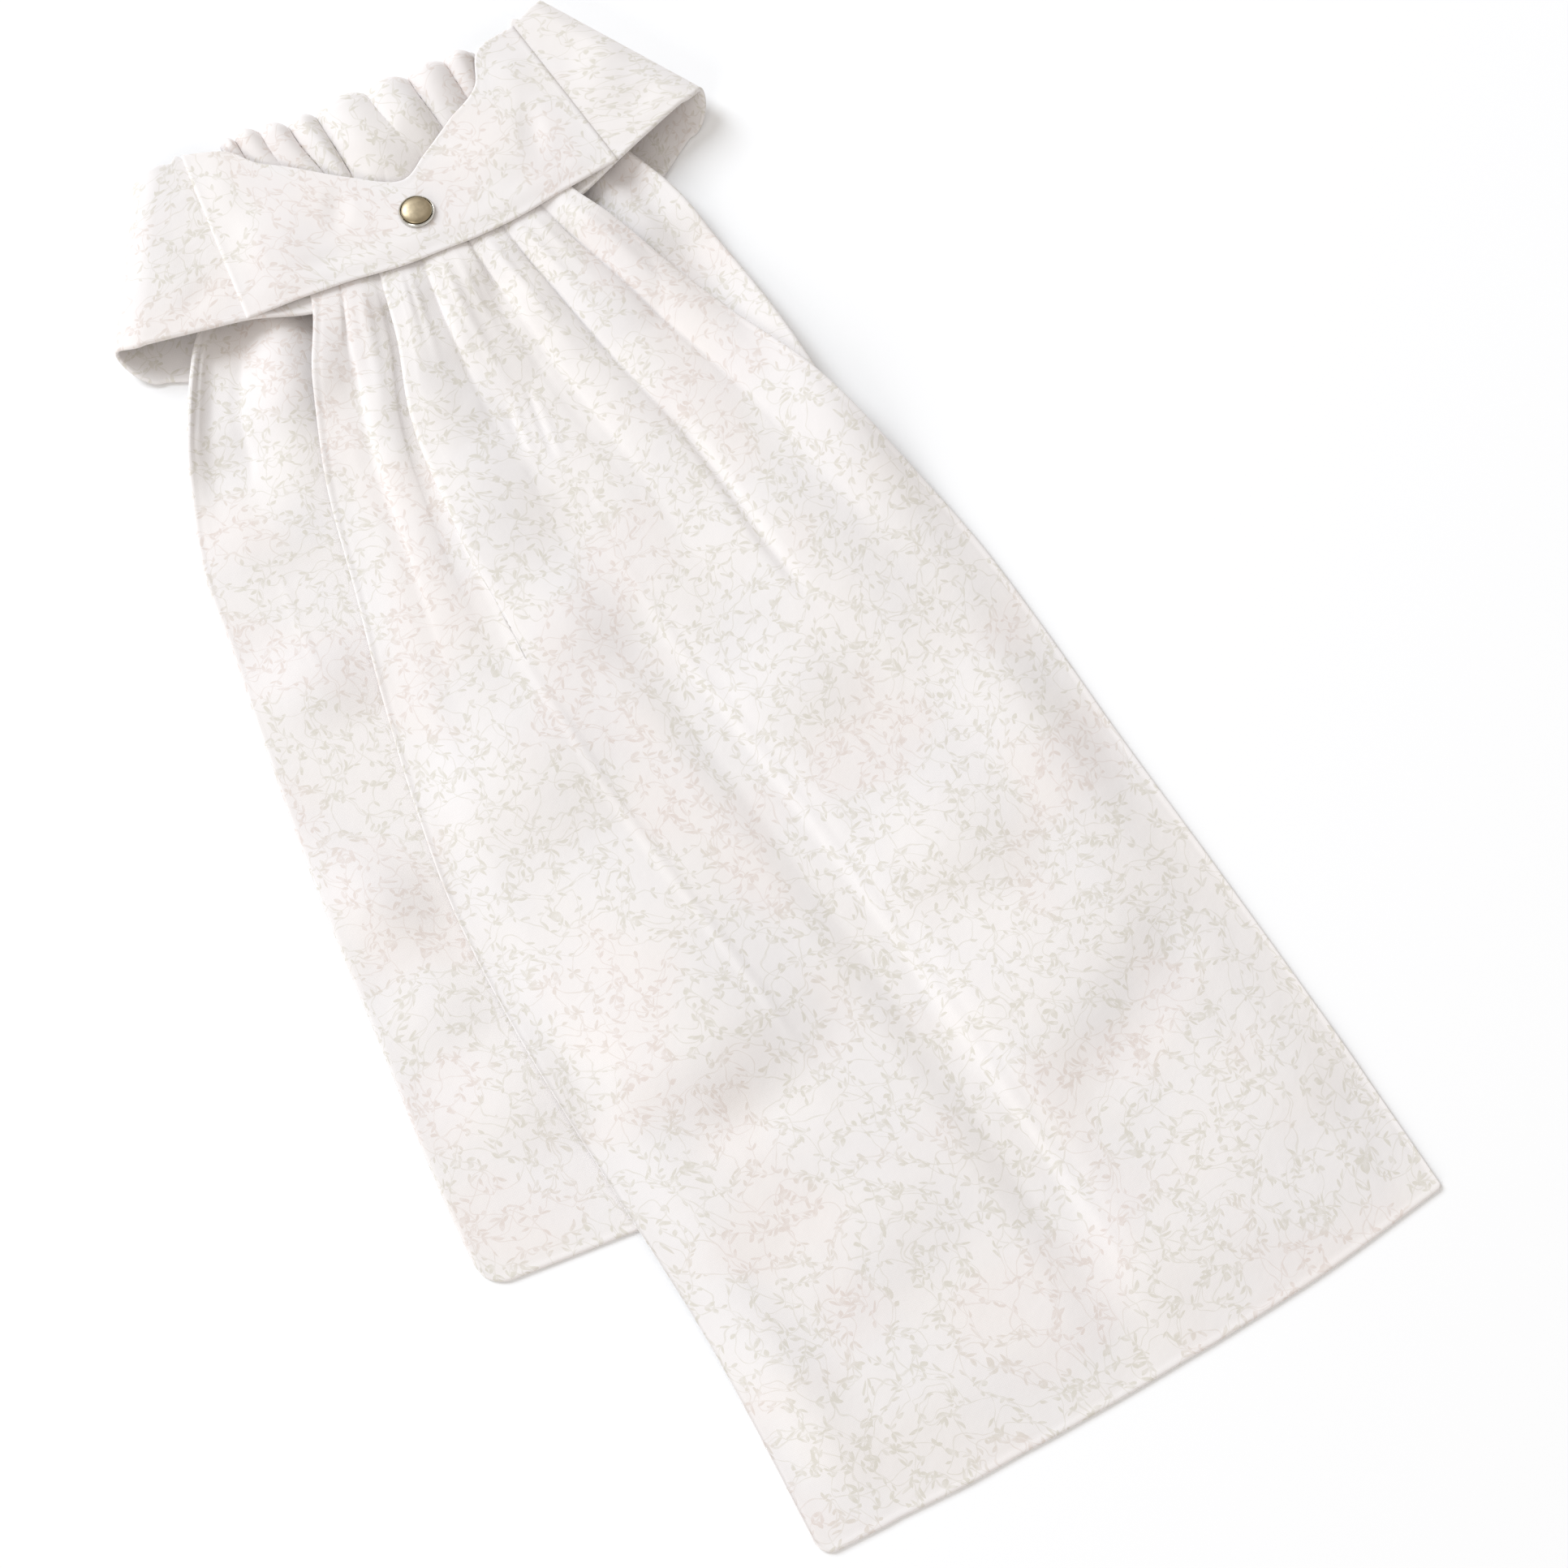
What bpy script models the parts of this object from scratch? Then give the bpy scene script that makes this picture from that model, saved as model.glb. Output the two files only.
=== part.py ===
"""A ready-tied cravat laid flat: a neckband ring, a gathered strip folded over in it, and a snap.

The neckband is two wings, each turned back on itself at its outer end, and a notched yoke laid
over their inner ends. One wide strip is gathered at its middle and folded over in the notch. Its
front half hangs out under the yoke as the long front tail, and its back half as the shorter under
tail. Y runs up the garment, from the hems to the neckband, X across it, and Z off the surface that
it lies on. All sizes are in metres.
"""
import math

import bpy

FRAME_SHIFT = (-0.0003, -0.0008)     # brings the origin under the middle of the whole piece

# Cloth
TAIL_WALL = 0.0010        # the strip, two plies
BAND_WALL = 0.0015        # the neckband, two plies and interfacing
SEAM_GAP = 0.0003         # between pieces that are sewn together
LAY_GAP = 0.0010          # between the tails where one lies on the other

# Neckband, heights of its outer faces above the surface
YOKE_TOP = 0.0142
WING_TOP = 0.0130
WING_AT_SEAM = 0.0123
TAB_TOP = 0.0107
RING_CENTRE_X = 0.0130
WING_ARC_STEPS = 10
BAND_ROWS = 6

# Left wing, one rib a row from the tab under the yoke out to the turned end:
# x and y at the lower edge, x and y at the upper edge, height of the outer face
LEFT_WING_FRONT = (
    (-0.0270, 0.1802, -0.0270, 0.2030, TAB_TOP),
    (-0.0380, 0.1836, -0.0400, 0.2160, TAB_TOP + 0.0002),
    (-0.0530, 0.1893, -0.0470, 0.2572, WING_AT_SEAM),
    (-0.0690, 0.1930, -0.0520, 0.2585, WING_TOP - 0.0003),
    (-0.0890, 0.1974, -0.0560, 0.2598, WING_TOP),
)
# Turned end: x at the lower and the upper edge, then how far the turn lies up from its two sides
LEFT_WING_TURN = (-0.0996, -0.0614, 0.0088, 0.0018)
LEFT_WING_BACK = (
    (-0.0880, 0.1878, -0.0560, 0.2625, 0.0),
    (-0.0600, 0.1740, -0.0400, 0.2600, 0.0),
    (-0.0250, 0.1668, -0.0180, 0.2550, 0.0),
    (RING_CENTRE_X - SEAM_GAP / 2, 0.1650, RING_CENTRE_X - SEAM_GAP / 2, 0.2500, 0.0),
)
RIGHT_WING_FRONT = (
    (0.0600, 0.1780, 0.0600, 0.2030, TAB_TOP),
    (0.0690, 0.1806, 0.0665, 0.2140, TAB_TOP + 0.0002),
    (0.0815, 0.1846, 0.0755, 0.2512, WING_AT_SEAM),
    (0.0970, 0.1898, 0.0805, 0.2538, WING_TOP - 0.0003),
    (0.1135, 0.1950, 0.0860, 0.2562, WING_TOP),
)
RIGHT_WING_TURN = (0.1247, 0.0916, 0.0070, 0.0030)
RIGHT_WING_BACK = (
    (0.1130, 0.1880, 0.0860, 0.2592, 0.0),
    (0.0880, 0.1740, 0.0640, 0.2560, 0.0),
    (0.0500, 0.1668, 0.0400, 0.2520, 0.0),
    (RING_CENTRE_X + SEAM_GAP / 2, 0.1650, RING_CENTRE_X + SEAM_GAP / 2, 0.2500, 0.0),
)

# Yoke: x at the lower edge, y there, x at the upper edge, y there; the notch is in its upper edge
YOKE_RIBS = (
    (-0.0550, 0.1898, -0.0474, 0.2596),
    (-0.0450, 0.1888, -0.0400, 0.2562),
    (-0.0350, 0.1880, -0.0322, 0.2518),
    (-0.0270, 0.1871, -0.0262, 0.2438),
    (-0.0180, 0.1860, -0.0175, 0.2370),
    (0.0000, 0.1828, -0.0010, 0.2230),
    (0.0140, 0.1818, 0.0140, 0.2130),
    (0.0280, 0.1808, 0.0260, 0.2188),
    (0.0440, 0.1810, 0.0400, 0.2272),
    (0.0600, 0.1828, 0.0535, 0.2350),
    (0.0700, 0.1836, 0.0610, 0.2480),
    (0.0835, 0.1850, 0.0770, 0.2518),
)

# Front tail: y, x of its left edge, x of its right edge
FRONT_EDGES = (
    (-0.260, -0.0840, 0.1345),
    (-0.190, -0.0830, 0.1322),
    (-0.130, -0.0865, 0.1292),
    (-0.080, -0.0892, 0.1262),
    (-0.030, -0.0884, 0.1240),
    (0.010, -0.0830, 0.1205),
    (0.050, -0.0752, 0.1120),
    (0.085, -0.0670, 0.1025),
    (0.125, -0.0580, 0.0880),
    (0.160, -0.0455, 0.0745),
    (0.186, -0.0330, 0.0640),
    (0.207, -0.0310, 0.0620),
)
# Front tail hem: share of the width, y
FRONT_HEM = ((0.0, -0.2578), (0.35, -0.2604), (0.75, -0.2585), (1.0, -0.2530))
FRONT_ROOT_Y = 0.2062
FRONT_ROWS = 27
FRONT_ROOT_RISE = 0.0072      # underside of the gathered root, above the surface
FRONT_RISE_FROM_Y = 0.098
PLEAT_FULL_Y = 0.178          # above this the pleats keep their root form

# Pleats of the front tail, left to right. share: place across the width; left and right: height
# of the cloth on each side of it; lap: how far it lies over itself; fade_y: where it has gone;
# puff: rise of the cloth between it and the next one
PLEATS = (
    ("left_edge", 0.000, 0.0038, 0.0038, 0.0, 0.140, 0.0002),
    ("tuck", 0.105, 0.0038, 0.0006, 0.0, 0.150, 0.0016),
    ("deep_lap", 0.262, 0.0000, 0.0036, 0.0060, -0.020, 0.0004),
    ("second_lap", 0.420, 0.0008, 0.0032, 0.0, 0.110, 0.0006),
    ("pocket", 0.580, 0.0032, 0.0006, 0.0, 0.150, 0.0022),
    ("valley", 0.715, 0.0005, 0.0005, 0.0, 0.060, 0.0028),
    ("side_valley", 0.870, 0.0004, 0.0004, 0.0, 0.050, 0.0018),
    ("right_edge", 1.000, 0.0038, 0.0038, 0.0, 0.135, 0.0),
)
LAP_RADIUS = 0.0009
LAP_TURN_STEPS = 4
LAP_APPROACH = 0.0022
STEP_HALF = 0.0011
PANEL_STEPS = 4
PUFF_FADE_Y = 0.040
CREASE_SHARE = 0.530          # the press fold down the middle of the strip
CREASE_HALF = 0.045
CREASE_RISE = 0.0010

# Under tail: y, x of its left edge, x of its right edge
UNDER_EDGES = (
    (-0.170, -0.1345, 0.0860),
    (-0.110, -0.1325, 0.0910),
    (-0.064, -0.1285, 0.0960),
    (-0.005, -0.1232, 0.1010),
    (0.050, -0.1162, 0.1035),
    (0.087, -0.1108, 0.1042),
    (0.117, -0.1070, 0.1035),
    (0.151, -0.0962, 0.1000),
    (0.171, -0.0870, 0.0965),
    (0.190, -0.0765, 0.0900),
    (0.200, -0.0690, 0.0860),
    (0.226, -0.0510, 0.0710),
)
UNDER_HEM_LEFT_Y = -0.1405
UNDER_HEM_RIGHT_Y = -0.1680
UNDER_ROOT_Y = 0.2260
UNDER_ROWS = 20
UNDER_COLUMNS = 29
UNDER_LIFT = 0.0019           # over the back of the neckband
UNDER_LIFT_FROM_Y = 0.145
UNDER_LIFT_TO_Y = 0.163
# Gathers of the under tail: share of the width, rise, half width as a share, fade_y
UNDER_GATHERS = (
    (0.000, 0.0040, 0.050, 0.120),
    (0.192, 0.0050, 0.105, 0.080),
    (0.360, 0.0026, 0.060, 0.100),
    (0.500, 0.0026, 0.060, 0.100),
    (0.640, 0.0026, 0.060, 0.100),
    (0.900, 0.0044, 0.085, 0.070),
)
COVER_CLEAR = 0.002           # the front tail starts down this far past the under tail's edge
COVER_RAMP = 0.014            # and is down on the surface this far past it

# Gathered roll in the notch: the strip's middle, folded over
ROLL_TOP_LEFT_Y = 0.2592
ROLL_TOP_RIGHT_Y = 0.2526
ROLL_REACH = 0.0056
ROLL_FRONT_RISE = 0.0083
ROLL_FRONT_BLEND = 0.018
ROLL_LIFT = 0.0036            # how far it swells up past the notch's edge
ROLL_LIFT_REACH = 0.013
ROLL_FRONT_STEPS = 9
ROLL_TURN_STEPS = 8
ROLL_BACK_STEPS = 4
ROLL_LEFT_X = -0.0335
ROLL_RIGHT_X = 0.0605
# Folds of the roll: share of its width, rise, half width as a share
ROLL_FOLDS = (
    (0.060, 0.0028, 0.070),
    (0.210, 0.0024, 0.070),
    (0.360, 0.0026, 0.060),
    (0.550, 0.0030, 0.110),
    (0.745, 0.0026, 0.065),
    (0.900, 0.0022, 0.075),
)

# Snap
SNAP_PLACE = (0.0132, 0.1974)
SNAP_RADIUS = 0.00625
SNAP_RIM_HEIGHT = 0.0012
SNAP_RIM_WIDTH = 0.0013
SNAP_DOME_RISE = 0.0022
SNAP_DOME_FOOT = 0.0006
SNAP_STEPS = 40

COTTON = (0.890, 0.870, 0.835, 1.0)
CHAMPAGNE = (0.560, 0.480, 0.330, 1.0)
NICKEL = (0.780, 0.770, 0.740, 1.0)


def ease(value):
    """0 to 1, flat at both ends."""
    value = max(0.0, min(1.0, value))
    return value * value * (3.0 - 2.0 * value)


def bump(distance, half_width):
    """1 in the middle, 0 from half_width on."""
    if abs(distance) >= half_width:
        return 0.0
    return math.cos(math.pi / 2.0 * distance / half_width) ** 2


def slope_at(rows, index, column):
    """Slope of a table's column at one of its rows."""
    before = rows[max(index - 1, 0)]
    after = rows[min(index + 1, len(rows) - 1)]
    return (after[column] - before[column]) / (after[0] - before[0])


def look_up(rows, station, column=1):
    """A table's column at a station between its rows, on a smooth curve through them."""
    if station <= rows[0][0]:
        return rows[0][column]
    if station >= rows[-1][0]:
        return rows[-1][column]
    index = 0
    while rows[index + 1][0] < station:
        index += 1
    low, high = rows[index], rows[index + 1]
    span = high[0] - low[0]
    t = (station - low[0]) / span
    rise_low = slope_at(rows, index, column) * span
    rise_high = slope_at(rows, index + 1, column) * span
    start = (2.0 * t ** 3 - 3.0 * t ** 2 + 1.0) * low[column] + (t ** 3 - 2.0 * t ** 2 + t) * rise_low
    end = (3.0 * t ** 2 - 2.0 * t ** 3) * high[column] + (t ** 3 - t ** 2) * rise_high
    return start + end


def mix(first, second, share):
    """Point or number part of the way from first to second."""
    if isinstance(first, tuple):
        return tuple(a + (b - a) * share for a, b in zip(first, second))
    return first + (second - first) * share


def under_hem_y(share):
    """Y of the under tail's hem."""
    return mix(UNDER_HEM_LEFT_Y, UNDER_HEM_RIGHT_Y, share)


def under_relief(share, y):
    """Height of the under tail's gathers over the plane that it lies on."""
    relief = 0.0
    for place, rise, half_width, fade_y in UNDER_GATHERS:
        strength = ease((y - fade_y) / (PLEAT_FULL_Y - fade_y))
        relief += rise * strength * bump(share - place, half_width)
    return relief


def under_underside(share, y):
    """Height of the under tail's lower face."""
    lift = UNDER_LIFT * ease((y - UNDER_LIFT_FROM_Y) / (UNDER_LIFT_TO_Y - UNDER_LIFT_FROM_Y))
    return lift + under_relief(share, y)


def front_support(x, y):
    """Height on which the front tail's lower face lies: the under tail, or the surface past it."""
    left = look_up(UNDER_EDGES, y, 1)
    right = look_up(UNDER_EDGES, y, 2)
    share = max(0.0, min(1.0, (x - left) / (right - left)))
    past_side = x - right
    past_hem = under_hem_y(share) - y
    past = max(past_side, past_hem)
    cover = 1.0 - ease((past - COVER_CLEAR) / (COVER_RAMP - COVER_CLEAR))
    return cover * (under_underside(share, y) + TAIL_WALL + LAY_GAP)


def front_base(x, y):
    """Lower face of the front tail under its pleats."""
    rise = ease((y - FRONT_RISE_FROM_Y) / (PLEAT_FULL_Y - FRONT_RISE_FROM_Y))
    return max(front_support(x, y), FRONT_ROOT_RISE * rise)


def lap_path(lap):
    """Section of a pleat that lies over itself: x and height from its visible edge."""
    points = [(-LAP_APPROACH, 0.0), (lap * 0.5, 0.0)]
    for step in range(LAP_TURN_STEPS + 1):
        angle = math.pi * step / LAP_TURN_STEPS - math.pi / 2.0
        points.append((lap + LAP_RADIUS * math.cos(angle), LAP_RADIUS * (1.0 + math.sin(angle))))
    for step in range(LAP_TURN_STEPS + 1):
        angle = math.pi * step / LAP_TURN_STEPS - math.pi / 2.0
        points.append((LAP_RADIUS * (1.0 - math.cos(angle)), LAP_RADIUS * (3.0 + math.sin(angle))))
    points.append((lap * 0.5 + LAP_RADIUS, LAP_RADIUS * 4.0))
    return points


def pleat_points(pleat, x, y):
    """One pleat's points across a row: x and height over the base."""
    left, right, lap, fade_y = pleat[2:6]
    strength = ease((y - fade_y) / (PLEAT_FULL_Y - fade_y))
    if lap > 0.0:
        path = lap_path(lap)
        flat_half = 0.5 * (2.0 * lap + 2.0 * math.pi * LAP_RADIUS)
        points = []
        for index, (path_x, path_z) in enumerate(path):
            t = index / (len(path) - 1)
            flat_x = flat_half * (2.0 * t - 1.0)
            height = path_z * strength
            points.append((x + mix(flat_x, path_x, strength), height))
        return points
    if left != right:
        return [(x - STEP_HALF, left * strength), (x + STEP_HALF, right * strength)]
    return [(x, left * strength)]


def crease_relief(share, y):
    """Height of the press fold down the middle, which starts below the pleats."""
    strength = 1.0 - ease((y + 0.02) / 0.10)
    return CREASE_RISE * strength * bump(share - CREASE_SHARE, CREASE_HALF)


def front_row(y_of_share):
    """Points across the front tail, pleat by pleat; y_of_share gives y at a share of the width."""
    row = []
    groups = []
    for pleat in PLEATS:
        share = pleat[1]
        y = y_of_share(share)
        left = look_up(FRONT_EDGES, y, 1)
        right = look_up(FRONT_EDGES, y, 2)
        groups.append((pleat, share, y, pleat_points(pleat, mix(left, right, share), y)))
    for index, (pleat, share, y, points) in enumerate(groups):
        row.extend((x, y, height, share) for x, height in points)
        if index + 1 == len(groups):
            break
        next_share, next_y, next_points = groups[index + 1][1:]
        puff = pleat[6]
        for step in range(1, PANEL_STEPS):
            t = step / PANEL_STEPS
            x, height = mix(points[-1], next_points[0], t)
            panel_y = mix(y, next_y, t)
            fullness = ease((panel_y - PUFF_FADE_Y) / (PLEAT_FULL_Y - PUFF_FADE_Y))
            height += puff * fullness * math.sin(math.pi * t)
            row.append((x, panel_y, height, mix(share, next_share, t)))
    return [
        (x, y, front_base(x, y) + TAIL_WALL / 2.0 + height + crease_relief(share, y))
        for x, y, height, share in row
    ]


def front_tail_rows():
    """Rows of the front tail's middle surface, from the root down to the hem."""
    rows = []
    for index in range(FRONT_ROWS):
        t = index / (FRONT_ROWS - 1)
        down = 0.55 * t + 0.45 * t * t
        rows.append(front_row(lambda share: mix(FRONT_ROOT_Y, look_up(FRONT_HEM, share), down)))
    return rows


def under_row(down):
    """Points across the under tail, a part of the way down it."""
    row = []
    for index in range(UNDER_COLUMNS):
        share = index / (UNDER_COLUMNS - 1)
        y = mix(UNDER_ROOT_Y, under_hem_y(share), down)
        x = mix(look_up(UNDER_EDGES, y, 1), look_up(UNDER_EDGES, y, 2), share)
        row.append((x, y, under_underside(share, y) + TAIL_WALL / 2.0))
    return row


def under_tail_rows():
    """Rows of the under tail's middle surface, from the root down to the hem."""
    rows = []
    for index in range(UNDER_ROWS):
        t = index / (UNDER_ROWS - 1)
        rows.append(under_row(0.45 * t + 0.55 * t * t))
    return rows


def roll_relief(share):
    """Height of the roll's folds."""
    return sum(rise * bump(share - place, half) for place, rise, half in ROLL_FOLDS)


def roll_lift(x, y):
    """Rise of the roll where it comes out over the notch's edge."""
    notch = [rib[2:4] for rib in YOKE_RIBS]
    return ROLL_LIFT * ease((y - look_up(notch, x)) / ROLL_LIFT_REACH)


def roll_column(start_point, share):
    """One line of the strip over the roll, from the front tail's root to the under tail's."""
    start_x, start_y, start_z = start_point
    top_y = mix(ROLL_TOP_LEFT_Y, ROLL_TOP_RIGHT_Y, share)
    turn_y = top_y - ROLL_REACH
    turn_x = mix(ROLL_LEFT_X, ROLL_RIGHT_X, share)
    front_z = ROLL_FRONT_RISE + TAIL_WALL / 2.0 + roll_relief(share)
    top_z = front_z + roll_lift(turn_x, turn_y)
    end_y = UNDER_ROOT_Y + SEAM_GAP
    end_x = mix(look_up(UNDER_EDGES, end_y, 1), look_up(UNDER_EDGES, end_y, 2), share)
    end_z = under_underside(share, end_y) + TAIL_WALL / 2.0
    first_y = start_y + SEAM_GAP
    column = []
    for step in range(ROLL_FRONT_STEPS):
        y = mix(first_y, turn_y, step / ROLL_FRONT_STEPS)
        blend = ease((y - first_y) / ROLL_FRONT_BLEND)
        x = mix(start_x, turn_x, blend)
        column.append((x, y, mix(start_z, front_z, blend) + roll_lift(x, y)))
    middle_z = (top_z + end_z) / 2.0
    half_z = (top_z - end_z) / 2.0
    for step in range(ROLL_TURN_STEPS + 1):
        angle = math.pi / 2.0 - math.pi * step / ROLL_TURN_STEPS
        reach = ROLL_REACH - TAIL_WALL / 2.0
        column.append((turn_x, turn_y + reach * math.cos(angle), middle_z + half_z * math.sin(angle)))
    for step in range(1, ROLL_BACK_STEPS + 1):
        t = step / ROLL_BACK_STEPS
        column.append((mix(turn_x, end_x, t), mix(turn_y, end_y, t), end_z))
    return column


def roll_rows():
    """Rows of the gathered roll, each one across it."""
    root = front_row(lambda share: FRONT_ROOT_Y)
    columns = []
    for index, point in enumerate(root):
        along = index / (len(root) - 1)
        columns.append(roll_column(point, along))
    return [list(row) for row in zip(*columns)]


def rib_points(rib, rows):
    """Points up one rib of the neckband, lower edge to upper edge."""
    low_x, low_y, top_x, top_y, height = rib
    return [
        (mix(low_x, top_x, t / rows), mix(low_y, top_y, t / rows), height)
        for t in range(rows + 1)
    ]


def turned_ribs(front_rib, back_rib, turn):
    """Ribs of a wing's rounded end, between the last rib of its front and the first of its back."""
    ribs = []
    for step in range(1, WING_ARC_STEPS):
        angle = math.pi / 2.0 - math.pi * step / WING_ARC_STEPS
        down = (1.0 - math.sin(angle)) / 2.0
        low_x = mix(front_rib[0], back_rib[0], down)
        top_x = mix(front_rib[2], back_rib[2], down)
        out = math.cos(angle)
        ribs.append((
            mix(low_x, turn[0], out),
            mix(front_rib[1], back_rib[1], down) + turn[2] * out ** 2,
            mix(top_x, turn[1], out),
            mix(front_rib[3], back_rib[3], down) + turn[3] * out ** 2,
            mix(front_rib[4], back_rib[4], down),
        ))
    return ribs


def wing_rows(front, turn, back):
    """Ribs of one wing's outer face, tab to centre back."""
    ribs = list(front) + turned_ribs(front[-1], back[0], turn) + list(back)
    return [rib_points(rib, BAND_ROWS) for rib in ribs]


def yoke_rows():
    """Ribs of the yoke's outer face, left to right."""
    return [rib_points(rib + (YOKE_TOP,), BAND_ROWS) for rib in YOKE_RIBS]


def paint(name, colour, roughness, metallic):
    """A plain material."""
    material = bpy.data.materials.new(name)
    material.use_nodes = True
    shader = material.node_tree.nodes["Principled BSDF"]
    shader.inputs["Base Color"].default_value = colour
    shader.inputs["Roughness"].default_value = roughness
    shader.inputs["Metallic"].default_value = metallic
    return material


def place(name, mesh, collection, material):
    """Put a mesh in the collection as a named, smooth-shaded object."""
    thing = bpy.data.objects.new(name, mesh)
    collection.objects.link(thing)
    mesh.materials.append(material)
    mesh.shade_smooth()
    mesh.set_sharp_from_angle(angle=math.radians(40.0))
    return thing


def cloth(name, rows, wall, side, collection, material):
    """A sheet of cloth lofted through rows of points, with a wall of even thickness.

    side is 0 for rows on the wall's middle surface, 1 or -1 for rows on one of its faces.
    """
    width = len(rows[0])
    shift_x, shift_y = FRAME_SHIFT
    points = [(x + shift_x, y + shift_y, z) for row in rows for x, y, z in row]
    faces = []
    for row in range(len(rows) - 1):
        for column in range(width - 1):
            corner = row * width + column
            faces.append((corner, corner + width, corner + width + 1, corner + 1))
    mesh = bpy.data.meshes.new(name)
    mesh.from_pydata(points, [], faces)
    mesh.update()
    thing = place(name, mesh, collection, material)
    thickness = thing.modifiers.new("wall", "SOLIDIFY")
    thickness.thickness = wall
    thickness.offset = side
    return thing


def turned(name, profile, centre, collection, material):
    """A round piece: its outline, spun around its axis."""
    mesh = bpy.data.meshes.new(name)
    edges = [(index, index + 1) for index in range(len(profile) - 1)]
    mesh.from_pydata([(radius, 0.0, height) for radius, height in profile], edges, [])
    thing = place(name, mesh, collection, material)
    thing.location = centre
    spin = thing.modifiers.new("spin", "SCREW")
    spin.steps = SNAP_STEPS
    spin.render_steps = SNAP_STEPS
    spin.use_merge_vertices = True
    spin.merge_threshold = 0.00001
    return thing


def snap_rim_profile():
    """The ring around the snap's dome, outer side first."""
    inner = SNAP_RADIUS - SNAP_RIM_WIDTH
    return [
        (inner, SNAP_RIM_HEIGHT * 0.80),
        (inner + SNAP_RIM_WIDTH * 0.45, SNAP_RIM_HEIGHT),
        (SNAP_RADIUS - SNAP_RIM_WIDTH * 0.20, SNAP_RIM_HEIGHT * 0.80),
        (SNAP_RADIUS, SNAP_RIM_HEIGHT * 0.40),
        (SNAP_RADIUS, 0.0),
        (inner, 0.0),
        (inner, SNAP_RIM_HEIGHT * 0.80),
    ]


def snap_dome_profile():
    """The snap's dome, top to bottom."""
    radius = SNAP_RADIUS - SNAP_RIM_WIDTH - SEAM_GAP
    steps = 6
    profile = []
    for step in range(steps + 1):
        angle = math.pi / 2.0 * step / steps
        rise = SNAP_DOME_RISE - SNAP_DOME_FOOT
        profile.append((radius * math.sin(angle), SNAP_DOME_FOOT + rise * math.cos(angle)))
    profile.append((radius, 0.0))
    profile.append((0.0, 0.0))
    return profile


def build():
    """Make every piece of the cravat."""
    for thing in list(bpy.data.objects):
        bpy.data.objects.remove(thing, do_unlink=True)
    collection = bpy.data.collections.new("cravat")
    bpy.context.scene.collection.children.link(collection)
    cotton = paint("printed_cotton", COTTON, 0.85, 0.0)
    champagne = paint("champagne_metal", CHAMPAGNE, 0.35, 1.0)
    nickel = paint("nickel", NICKEL, 0.22, 1.0)
    left_wing = wing_rows(LEFT_WING_FRONT, LEFT_WING_TURN, LEFT_WING_BACK)
    right_wing = wing_rows(RIGHT_WING_FRONT, RIGHT_WING_TURN, RIGHT_WING_BACK)
    cloth("wing_left", left_wing, BAND_WALL, 1, collection, cotton)
    cloth("wing_right", list(reversed(right_wing)), BAND_WALL, 1, collection, cotton)
    cloth("yoke", yoke_rows(), BAND_WALL, -1, collection, cotton)
    cloth("front_tail", front_tail_rows(), TAIL_WALL, 0, collection, cotton)
    cloth("under_tail", under_tail_rows(), TAIL_WALL, 0, collection, cotton)
    cloth("ruche", roll_rows(), TAIL_WALL, 0, collection, cotton)
    seat_x = SNAP_PLACE[0] + FRAME_SHIFT[0]
    seat_y = SNAP_PLACE[1] + FRAME_SHIFT[1]
    seat = (seat_x, seat_y, YOKE_TOP + SEAM_GAP)
    turned("snap_rim", snap_rim_profile(), seat, collection, nickel)
    turned("snap_cap", snap_dome_profile(), seat, collection, champagne)


build()
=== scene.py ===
"""The cravat's looks: printed cotton laid flat in soft folds, its snap, and the pale studio.

The frame holds the cravat's solids. Here each cloth solid is replaced by a thin shell on the same
form, worked out from the same sizes with finer folds, and the snap by a turned metal one. Y runs
up the garment, X across it and Z off the surface. Sizes are in metres.
"""
import math

import bpy
import numpy as np
from mathutils import Matrix


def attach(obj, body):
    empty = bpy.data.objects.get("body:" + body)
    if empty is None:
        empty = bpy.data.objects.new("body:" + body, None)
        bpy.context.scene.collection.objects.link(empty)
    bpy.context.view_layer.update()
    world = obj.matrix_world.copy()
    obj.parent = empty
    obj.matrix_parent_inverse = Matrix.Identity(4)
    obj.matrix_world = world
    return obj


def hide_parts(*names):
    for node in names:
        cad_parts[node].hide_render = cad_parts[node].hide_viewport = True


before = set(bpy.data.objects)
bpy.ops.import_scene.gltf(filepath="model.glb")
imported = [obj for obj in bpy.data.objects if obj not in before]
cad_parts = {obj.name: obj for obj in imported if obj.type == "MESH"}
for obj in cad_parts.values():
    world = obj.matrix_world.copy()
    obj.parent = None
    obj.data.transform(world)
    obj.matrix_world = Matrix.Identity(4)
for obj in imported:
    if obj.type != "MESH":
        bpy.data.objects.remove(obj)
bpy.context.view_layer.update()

bl_info = {
    "name": "Ready-Tied Cravat",
    "version": (1, 0, 0),
    "blender": (4, 5, 0),
    "location": "3D View > Sidebar > Cravat",
    "description": "Models a ready-tied cravat in printed cotton, laid flat",
    "category": "Object",
}

FRAME_SHIFT = (-0.0003, -0.0008)     # the same as in the solids

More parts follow.
